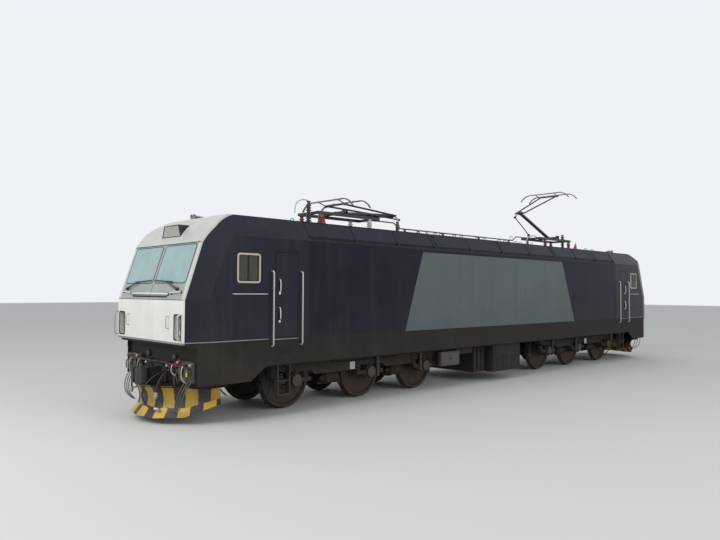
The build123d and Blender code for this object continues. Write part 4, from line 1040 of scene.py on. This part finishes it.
def make_end_pipes():
    """Pipes, cocks and rests of the air hoses, cords and their tag, and the sockets of the headstock."""
    box_face = 9.900
    pipes, reds, pale, cords = [], [], [], []
    for _, route, _ in HOSES:
        route = np.array(route)
        start = route[0] - (0.023, 0.0, 0.0)
        pipes.append(lathe([(0.054, 0.0), (0.054, 0.012), (0.034, 0.020), (0.034, 0.050), (0.028, 0.056),
                            (0.028, 0.078), (0.022, 0.084)], start, ALONG, 16))
        pipes.append(rod(start + (0.034, 0.0, -0.010), start + (0.034, 0.0, 0.058), 0.014, 10))
        end, way = route[-1], unit(route[-1] - route[-2])
        pale.append(lathe([(0.024, -0.030), (0.034, -0.020), (0.034, 0.050), (0.026, 0.066),
                           (0.020, 0.085)], end, way, 18))
        pipes.append(rod(end, (end[0] - 0.110, end[1], end[2] + 0.010), 0.012, 8))
        reds.append(bent([start + (0.034, 0.0, 0.050), start + (0.034, 0.0, 0.076),
                          start + (0.044, 0.085, 0.092)], 0.009, 8, ALONG))
    for side in (-1, 1):
        for y, z in ((0.760, 1.050), (0.680, 0.930)):
            pipes.append(bent([(END_FACE, side * y, z), (box_face, side * y, z),
                               (9.920, side * y, z - 0.120), (box_face, side * (y + 0.05), z - 0.250)],
                              0.016, 10))
        cords += [bent([(9.860, side * a, 0.900), (10.020, side * a, 0.700), (10.060, side * b, 0.430),
                        (9.980, side * c, 0.300), (10.060, side * d, 0.330)], 0.011, 8)
                  for a, b, c, d in ((1.100, 1.020, 0.880, 0.700), (1.200, 1.120, 0.960, 0.760),
                                     (1.300, 1.220, 1.040, 0.840))]
        pale += [bent([(box_face, side * y, 1.150), (9.990, side * y, 1.140),
                       (10.010, side * (y + 0.020), z), (9.940, side * (y + 0.070), z - 0.060)], 0.013,
                      8)
                 for y, z in ((0.720, 1.000), (1.110, 0.900))]
        pale += [lathe([(0.020, 0.0), (0.028, 0.020), (0.028, 0.060), (0.016, 0.075)],
                       (box_face, side * y, z), ALONG, 12)
                 for y, z in ((0.880, 1.200), (1.350, 1.180), (1.110, 0.900), (0.450, 1.100))]
        reds += [bent([(box_face, side * y, z), (9.950, side * y, z + 0.030),
                       (9.955, side * (y + 0.070), z + 0.045)], 0.014, 8)
                 for y, z in ((0.905, 1.195), (1.150, 1.020))]
        pipes.append(lathe([(0.045, 0.0), (0.060, 0.015), (0.060, 0.050), (0.040, 0.065)],
                           (END_FACE, side * 0.560, 1.270), ALONG, 18))
    reds += [
        bent([(9.840, 0.800, 1.215), (box_face, 0.800, 1.240), (9.910, 0.870, 1.262)], 0.014, 8),
        bent([(9.840, -1.330, 1.170), (box_face, -1.330, 1.190), (9.910, -1.385, 1.200)], 0.014, 8),
        bent([(box_face, -0.080, 0.780), (9.940, -0.085, 0.820), (9.950, -0.130, 0.850)], 0.012, 8),
    ]
    make_piece("end_pipes", both_ends(joined(*pipes)), "end_iron")
    make_piece("cock_handles", both_ends(joined(*reds)), "cock_red")
    make_piece("end_cords", both_ends(joined(*cords)), "cord_grey")
    tag = block((9.968, 1.230, 0.960), (9.974, 1.290, 1.040), 0.002)
    make_piece("end_tags",
               both_ends(joined(tag, rod((9.971, 1.260, 1.030), (9.971, 1.260, 1.100), 0.004, 6))),
               "tag_green")
    make_piece("hose_rests", both_ends(joined(*pale)), "lead_metal")
    socket_height = 1.038
    case = block((END_FACE, 0.820, 0.848), (box_face, 1.400, 1.228), 0.012)
    parts = [case]
    for y in (0.965, 1.255):
        parts += [lathe([(0.062, 0.0), (0.062, 0.012), (0.056, 0.016), (0.056, 0.046), (0.064, 0.050),
                         (0.064, 0.062), (0.050, 0.068)], (box_face, y, socket_height), ALONG, 22),
                  block((box_face, y - 0.018, 1.100), (box_face + 0.056, y + 0.018, 1.118)),
                  *[bolt((box_face, y + a, socket_height + b), ALONG, 0.009, 0.008)
                    for a in (-0.095, 0.095)
                    for b in (-0.095, 0.095)],]
    make_piece("jumper_sockets", at_corners(joined(*parts)), "socket_grey", bevel=0.004)


# Underfloor and bogies

def make_underfloor():
    """Tank box with its hatches and handles, light box, and the pipes with their clamps."""
    tank = block((-0.980, 1.190, 0.274), (0.430, 1.455, 1.500), 0.020)
    seams = [block((x - 0.004, 1.452, 0.300), (x + 0.004, 1.458, 1.480), 0.002)
             for x in (-0.520, -0.040)]
    doors = [block((start + 0.020, 1.450, low), (start + 0.430, 1.463, high), 0.006)
             for start in (-0.970, -0.500, -0.030) for low, high in ((0.320, 0.860), (0.900, 1.460))]
    feet = [block((x, 1.230, 0.262), (x + 0.120, 1.420, 0.276)) for x in (-0.900, 0.220)]
    make_piece("tank_boxes", both_ends(joined(tank, *seams, *doors, *feet)), "box_dark",
               bevel=0.004)
    light = block((1.990, 1.330, 0.613), (2.760, 1.452, 0.984), 0.020)
    lid = block((2.010, 1.448, 0.640), (2.740, 1.462, 0.960), 0.010)
    make_piece("battery_boxes", both_ends(joined(light, lid)), "box_light", bevel=0.005)
    hangers = [block((x, 1.340, 0.960), (x + 0.050, 1.440, 1.120)) for x in (2.060, 2.640)]
    handles = [bent([(x, 1.458, z), (x, 1.486, z), (x + 0.110, 1.486, z), (x + 0.110, 1.458, z)], 0.007,
                    8, UPWARD)
               for x, z in ((-0.820, 0.620), (-0.350, 0.620), (0.120, 0.620), (-0.820, 1.180),
                            (-0.350, 1.180), (0.120, 1.180), (2.320, 0.800))]
    pipe_end = 8.300
    main_pipe = tube([(-pipe_end, 1.395, 1.040), (0.0, 1.395, 1.040), (pipe_end, 1.395, 1.040)], 0.020,
                     10)
    thin_pipe = tube([(-pipe_end, 1.455, 1.052), (0.0, 1.455, 1.052), (pipe_end, 1.455, 1.052)], 0.011,
                     8)
    clamps = [block((x - 0.020, 1.365, 1.012), (x + 0.020, 1.475, 1.075))
              for x in np.arange(-7.8, 8.0, 1.3)]
    fittings = joined(*hangers, *handles)
    make_piece("underfloor_fittings",
               joined(both_ends(fittings), both_sides(joined(main_pipe, thin_pipe, *clamps))),
               "box_dark")


def make_springs(end, place):
    """Coil springs of one bogie: a pair beside each axle box and three on each side beam."""
    coils, seats = [], []
    for axle in AXLES:
        for step in (-0.330, 0.330):
            coils.append(coil((axle + step, BEAM, 0.700), radius=0.078, height=0.136, wire=0.016,
                              turns=3.0))
            seats.append(lathe([(0.098, 0.0), (0.098, 0.014), (0.060, 0.020)],
                               (axle + step, BEAM, 0.690), UPWARD, 18))
    for step in (-1, 0, 1):
        foot = (BOGIE + 0.420 * step, BEAM, 1.038)
        coils.append(coil(foot, radius=0.102, height=0.462, wire=0.021, turns=6.0))
        coils.append(coil(foot, radius=0.056, height=0.462, wire=0.013, turns=8.0, sides=6))
        seats += [lathe([(0.128, 0.0), (0.128, 0.022), (0.070, 0.030)], foot, UPWARD, 20),
                  lathe([(0.070, 0.0), (0.128, 0.008), (0.128, 0.030)], (foot[0], foot[1], 1.470),
                        UPWARD, 20)]
    make_piece(f"coil_springs_{end}", place(both_sides(joined(*coils))), "spring_steel",
               f"bogie_{end}", replaced=[f"springs_{end}"], sharp=60.0)
    make_piece(f"spring_seats_{end}", place(both_sides(joined(*seats))), "bogie_paint",
               f"bogie_{end}", replaced=[f"springs_{end}"])


def brake_shoe(axle, way):
    """Brake shoe beside a wheel: an arc a little off the tread, with its hanger and lug."""
    angle = np.radians(np.linspace(-24, 16, 12))
    arc = np.stack((np.cos(angle), np.sin(angle)), axis=-1)
    outline = np.concatenate(((WHEEL + 0.012) * arc, (WHEEL + 0.062) * arc[::-1])) * (way, 1.0)
    shoe = slab(outline, (axle, 0.790, AXLE_HEIGHT), ALONG, UPWARD, 0.080)
    hanger = rod((axle + way * (WHEEL + 0.085), 0.870, AXLE_HEIGHT + 0.020),
                 (axle + way * (WHEEL + 0.060), 0.900, AXLE_HEIGHT + 0.340), 0.020, 8)
    lug = rod((axle + way * (WHEEL + 0.060), 0.720, AXLE_HEIGHT - 0.030),
              (axle + way * (WHEEL + 0.060), 0.900, AXLE_HEIGHT - 0.030), 0.026, 10)
    return joined(shoe, hanger, lug)


def make_bogie_fittings(end, place):
    """Dampers, axle-box covers with bolts, brakes, sand boxes with bent pipes, and long pipes."""
    body = f"bogie_{end}"
    dampers, covers, bolts, brakes = [], [], [], []
    for axle, way in zip(AXLES, (1, -1, 1)):
        foot = (axle + 0.215 * way, 1.208, 0.560)
        dampers += [lathe([(0.020, 0.0), (0.026, 0.020), (0.032, 0.040), (0.032, 0.260), (0.018, 0.268),
                           (0.018, 0.280), (0.040, 0.282), (0.040, 0.440), (0.022, 0.450),
                           (0.022, 0.500)], foot, UPWARD, 18),
                    *[rod((foot[0], 1.150, z), (foot[0], 1.244, z), 0.030, 14) for z in (0.565, 1.050)],
                    block((foot[0] - 0.045, 1.150, 1.010), (foot[0] + 0.045, 1.176, 1.085)),
                    block((foot[0] - 0.050, 1.120, 0.560), (foot[0] + 0.050, 1.180, 0.640))]
        centre = np.array([axle, 1.228, AXLE_HEIGHT])
        covers.append(lathe([(0.126, -0.006), (0.126, 0.004), (0.104, 0.012), (0.060, 0.014),
                             (0.050, 0.022), (0.010, 0.024)], centre, ACROSS, 30))
        turn = np.linspace(0, 2 * np.pi, 8, endpoint=False) + np.pi / 8
        bolts += [bolt(centre + (0.108 * np.cos(a), 0.008, 0.108 * np.sin(a)), ACROSS, 0.010, 0.012)
                  for a in turn]
    brakes += [brake_shoe(axle, way) for axle, way in zip(AXLES, (1, 1, -1))]
    for middle in ((AXLES[0] + AXLES[1]) / 2, (AXLES[1] + AXLES[2]) / 2):
        brakes += [lathe([(0.060, -0.230), (0.130, -0.200), (0.130, 0.150), (0.150, 0.155),
                          (0.150, 0.185), (0.090, 0.200), (0.040, 0.280)], (middle, 0.960, 0.600), ALONG,
                         20),
                   block((middle - 0.160, 0.860, 0.600), (middle + 0.140, 1.050, 0.760), 0.020),
                   rod((middle - 0.330, 0.930, 0.480), (middle + 0.330, 0.930, 0.480), 0.022, 8)]
    make_piece(f"dampers_{end}", place(both_sides(joined(*dampers))), "damper_paint",
               body)
    make_piece(f"axle_covers_{end}", place(both_sides(joined(*covers))), "cover_paint",
               body)
    make_piece(f"axle_bolts_{end}", place(both_sides(joined(*bolts))), "bolt_steel",
               body)
    make_piece(f"brake_shoes_{end}", place(both_sides(joined(*brakes))), "motor_iron",
               body)
    box = block((7.796, 0.955, 0.738), (7.960, 1.145, 1.038), 0.020)
    lid = block((7.810, 0.975, 1.036), (7.945, 1.125, 1.054), 0.012)
    pipe = bent([(7.875, 1.050, 0.745), (7.900, 1.050, 0.550), (7.940, 0.970, 0.380),
                 (7.930, 0.850, 0.240), (7.850, 0.760, 0.150)], 0.016, 10)
    long_pipe = bent([(7.700, 1.172, 0.985), (6.300, 1.172, 0.985), (6.200, 1.172, 0.940),
                      (4.250, 1.172, 0.940), (4.150, 1.172, 0.985), (2.800, 1.172, 0.985)], 0.012, 8)
    ribs = [block((x - 0.012, 1.156, 0.850), (x + 0.012, 1.170, 1.010))
            for x in np.arange(3.0, 7.7, 0.62)]
    make_piece(f"bogie_pipes_{end}", place(both_sides(joined(box, lid, pipe, long_pipe, *ribs))),
               "bogie_paint", body, bevel=0.003)
    plate = block((5.590, 1.158, 0.755), (5.750, 1.166, 0.945), 0.006)
    make_piece(f"blank_plates_{end}", place(both_sides(plate)), "plate_white", body)


# Finishes: what every visible surface is made of

PATTERNS = {
    "side_paint": side_panel_paint, "surround_silver": surround_paint, "wheel_steel": tread_paint,
    "pilot_stripes": stripe_paint,
}
WEATHERED = [
    # name, colour, dust, dust top, streaks, gloss low, gloss high, coat, metallic, bump, shine
    ("body_blue", NAVY, 0.35, 2.6, 0.15, 0.3, 0.5, 0.0, 0.0, 0.02, 0.16),
    ("side_paint", NAVY, 0.35, 2.6, 0.15, 0.3, 0.5, 0.0, 0.0, 0.02, 0.08),
    ("frame_green", FRAME_GREEN, 0.5, 2.2, 0.15, 0.45, 0.75, 0.0, 0.0, 0.02, 0.08),
    ("roof_blue", ROOF_NAVY, 0.0, 2.2, 0.2, 0.35, 0.65, 0.0, 0.0, 0.02, 0.10),
    ("roof_dark", linear(44, 44, 48), 0.0, 2.2, 0.4, 0.5, 0.8, 0.0, 0.0, 0.02, 0.5),
    ("surround_silver", SILVER, 0.1, 3.4, 0.10, 0.3, 0.5, 0.0, 0.0, 0.02, 0.5),
    ("nose_white", WHITE, 0.10, 2.6, 0.08, 0.3, 0.5, 0.3, 0.0, 0.02, 0.5),
    ("bar_white", WHITE, 0.10, 2.6, 0.08, 0.3, 0.5, 0.0, 0.0, 0.02, 0.5),
    ("frame_beige", linear(196, 186, 168), 0.15, 2.2, 0.15, 0.3, 0.5, 0.0, 0.2, 0.02, 0.5),
    ("trim_steel", linear(150, 150, 148), 0.3, 2.2, 0.15, 0.3, 0.55, 0.0, 0.5, 0.02, 0.5),
    ("bolt_steel", linear(120, 118, 112), 0.2, 2.2, 0.15, 0.3, 0.6, 0.0, 0.5, 0.02, 0.5),
    ("marker_red", linear(206, 96, 84), 0.0, 2.2, 0.2, 0.4, 0.6, 0.0, 0.0, 0.02, 0.5),
    ("underfloor", linear(42, 41, 39), 0.5, 2.0, 0.15, 0.6, 0.9, 0.0, 0.0, 0.02, 0.12),
    ("box_dark", linear(36, 36, 34), 0.4, 2.0, 0.15, 0.55, 0.85, 0.0, 0.0, 0.02, 0.12),
    ("box_light", linear(80, 79, 73), 0.6, 2.0, 0.15, 0.5, 0.8, 0.0, 0.0, 0.02, 0.5),
    ("socket_grey", linear(62, 64, 60), 0.6, 2.0, 0.15, 0.45, 0.75, 0.0, 0.0, 0.02, 0.5),
    ("bogie_paint", linear(48, 42, 37), 0.6, 1.9, 0.15, 0.6, 0.9, 0.0, 0.0, 0.02, 0.12),
    ("cover_paint", linear(66, 58, 50), 0.8, 1.9, 0.15, 0.5, 0.8, 0.0, 0.0, 0.02, 0.5),
    ("damper_paint", linear(62, 56, 48), 0.7, 1.9, 0.15, 0.4, 0.7, 0.0, 0.0, 0.02, 0.5),
    ("plate_white", linear(202, 200, 192), 0.3, 1.6, 0.15, 0.4, 0.6, 0.0, 0.0, 0.02, 0.5),
    ("spring_steel", linear(42, 39, 36), 0.8, 1.9, 0.15, 0.45, 0.75, 0.0, 0.0, 0.02, 0.5),
    ("motor_iron", linear(36, 33, 31), 0.5, 1.9, 0.15, 0.6, 0.9, 0.0, 0.0, 0.02, 0.12),
    ("wheel_steel", linear(64, 56, 49), 0.6, 1.6, 0.15, 0.45, 0.75, 0.0, 0.3, 0.02, 0.2),
    ("coupler_iron", linear(46, 41, 37), 0.5, 2.2, 0.15, 0.5, 0.8, 0.0, 0.0, 0.12, 0.5),
    ("end_iron", linear(58, 55, 50), 0.5, 2.2, 0.15, 0.4, 0.75, 0.0, 0.0, 0.08, 0.5),
    ("pilot_stripes", YELLOW, 0.2, 1.2, 0.15, 0.4, 0.7, 0.0, 0.0, 0.02, 0.5),
    ("handrail_steel", linear(196, 194, 190), 0.1, 2.2, 0.15, 0.25, 0.45, 0.0, 0.5, 0.02, 0.5),
    ("black_paint", BLACK, 0.5, 2.2, 0.15, 0.4, 0.7, 0.0, 0.0, 0.02, 0.5),
    ("insulator", linear(120, 66, 54), 0.0, 2.2, 0.3, 0.2, 0.45, 0.4, 0.0, 0.02, 0.5),
    ("arrester_brown", linear(72, 54, 50), 0.0, 2.2, 0.3, 0.25, 0.5, 0.3, 0.0, 0.02, 0.5),
    ("porcelain_white", linear(214, 212, 206), 0.0, 2.2, 0.25, 0.2, 0.4, 0.4, 0.0, 0.02, 0.5),
    ("arm_paint", linear(58, 57, 58), 0.0, 2.2, 0.3, 0.4, 0.7, 0.0, 0.2, 0.02, 0.5),
    ("contact_metal", linear(120, 118, 116), 0.0, 2.2, 0.2, 0.3, 0.55, 0.0, 0.5, 0.02, 0.5),
    ("lead_metal", linear(176, 172, 164), 0.0, 2.2, 0.2, 0.3, 0.55, 0.0, 0.4, 0.02, 0.5),
]
GLASS = [
    # name, colour, transmission, roughness
    ("glass", linear(176, 206, 208), 0.30, 0.03),
    ("side_glass", linear(74, 74, 62), 0.25, 0.05),
    ("lamp_pane", linear(214, 216, 202), 0.55, 0.03),
    ("lamp_glass", linear(206, 212, 212), 0.75, 0.03),
    ("lens_clear", linear(204, 208, 204), 0.35, 0.03),
    ("lens_white", linear(236, 236, 232), 0.15, 0.12),
]
RUBBED = [
    # name, colour, roughness, scale, bump, metallic
    ("liner_pale", linear(226, 226, 220), 0.5, 20.0, 0.03, 0.0),
    ("reflector", linear(214, 216, 216), 0.16, 12.0, 0.02, 1.0),
    ("black_trim", linear(26, 26, 27), 0.45, 30.0, 0.05, 0.0),
    ("shadow_black", linear(16, 16, 16), 0.85, 30.0, 0.05, 0.0),
    ("rubber_and_painted_shadow", linear(32, 34, 35), 0.7, 90.0, 0.15, 0.0),
    ("cock_red", linear(204, 54, 52), 0.45, 60.0, 0.1, 0.0),
    ("tag_green", linear(186, 204, 62), 0.6, 60.0, 0.1, 0.0),
    ("cord_grey", linear(92, 86, 74), 0.35, 60.0, 0.1, 0.0),
    ("lead_pale", linear(206, 206, 200), 0.4, 60.0, 0.1, 0.0),
    ("cab_inside", linear(128, 133, 128), 0.6, 40.0, 0.1, 0.0),
    ("seat_cloth", linear(52, 56, 66), 0.9, 300.0, 0.3, 0.0),
    ("equipment", linear(150, 152, 148), 0.5, 40.0, 0.1, 0.0),
    ("hose_rubber", linear(38, 35, 33), 0.6, 40.0, 0.1, 0.0),
]


def make_finishes():
    """All finishes by name."""
    made = {row[0]: weathered(*row, PATTERNS.get(row[0])) for row in WEATHERED}
    made |= {row[0]: glass_material(*row) for row in GLASS}
    made |= {row[0]: rubbed(*row) for row in RUBBED}
    return made


def paint_frame():
    """Each CAD node gets the finish of its slot; the side walls carry the grey panel."""
    slot_of = {row["node"]: row["material_slot"] for row in frame["record"]["subparts"]}
    for name, item in nodes.items():
        finish = "side_paint" if name.startswith("side_wall") else slot_of[name]
        item.data.materials.clear()
        item.data.materials.append(finishes[finish])


# Floor, light and camera

def stage_floor():
    """Plain pale floor far wider than the locomotive."""
    reach = FLOOR_REACH
    mesh = bpy.data.meshes.new("floor")
    corners = [(-reach, -reach, 0), (reach, -reach, 0), (reach, reach, 0), (-reach, reach, 0)]
    mesh.from_pydata(corners, [], [(0, 1, 2, 3)])
    floor = bpy.data.objects.new("floor", mesh)
    bpy.context.scene.collection.objects.link(floor)
    material, _, shader = new_material("floor_paint")
    fill(shader, {"Base Color": FLOOR_COLOUR, "Roughness": FLOOR_ROUGHNESS})
    floor.data.materials.append(material)


def soft_light():
    """Even pale sky, a broad key light and a weak fill; camera, gloss and glass see a paler sky."""
    world = bpy.data.worlds.new("studio")
    world.use_nodes = True
    tree = world.node_tree
    sky = tree.nodes["Background"]
    sky.inputs["Color"].default_value = SKY_COLOUR
    path = tree.nodes.new("ShaderNodeLightPath")
    seen = path.outputs["Is Camera Ray"]
    for kind in ("Is Glossy Ray", "Is Transmission Ray"):
        seen = maths(tree, "MAXIMUM", seen, path.outputs[kind])
    tree.links.new(ramp(tree, seen, 0.0, 1.0, SKY_LIGHT, SKY_SEEN), sky.inputs["Strength"])
    bpy.context.scene.world = world
    for name, place, power, size in LAMPS:
        lamp = bpy.data.lights.new(name, "AREA")
        lamp.energy = power
        lamp.size = size
        made = bpy.data.objects.new(name, lamp)
        made.location = place
        aim = Vector(LAMP_AIM) - Vector(place)
        made.rotation_euler = aim.to_track_quat("-Z", "Y").to_euler()
        bpy.context.scene.collection.objects.link(made)


def place_camera():
    """Camera of the photograph: its place, direction and lens, worked out from the known sizes."""
    eye = np.array([15.819, 12.037, 2.542 + RAIL])
    yaw, pitch, roll = np.radians([-43.662, 1.899, 0.28])
    focal_pixels, image_width, sensor = 635.397, 720.0, 36.0
    ahead = np.array([np.sin(yaw) * np.cos(pitch), -np.cos(yaw) * np.cos(pitch), np.sin(pitch)])
    right = np.cross(ahead, UPWARD)
    right /= np.linalg.norm(right)
    above = np.cross(right, ahead)
    level, upright = right, above
    right = np.cos(roll) * level + np.sin(roll) * upright
    above = -np.sin(roll) * level + np.cos(roll) * upright
    data = bpy.data.cameras.new("camera")
    data.sensor_width = sensor
    data.lens = sensor * focal_pixels / image_width
    data.clip_end = 500.0
    camera = bpy.data.objects.new("camera", data)
    turn = Matrix((right, above, -ahead)).transposed().to_4x4()
    camera.matrix_world = Matrix.Translation(eye) @ turn
    bpy.context.scene.collection.objects.link(camera)
    bpy.context.scene.camera = camera


# Everything put together

place_camera()
finishes = make_finishes()
paint_frame()
make_hoses()
make_windscreen_trim()
make_wipers()
make_nose_bars()
make_headlamps()
make_marker_lamps()
make_side_windows()
make_body_trim()
make_door_handles()
make_roof_trim()
make_roof_insulators()
make_roof_equipment()
make_pilots()
make_couplers()
make_end_pipes()
make_underfloor()
for end, place in (("front", lambda part: part), ("rear", turned)):
    make_springs(end, place)
    make_bogie_fittings(end, place)
stage_floor()
soft_light()
bpy.context.scene.view_settings.view_transform = "Standard"
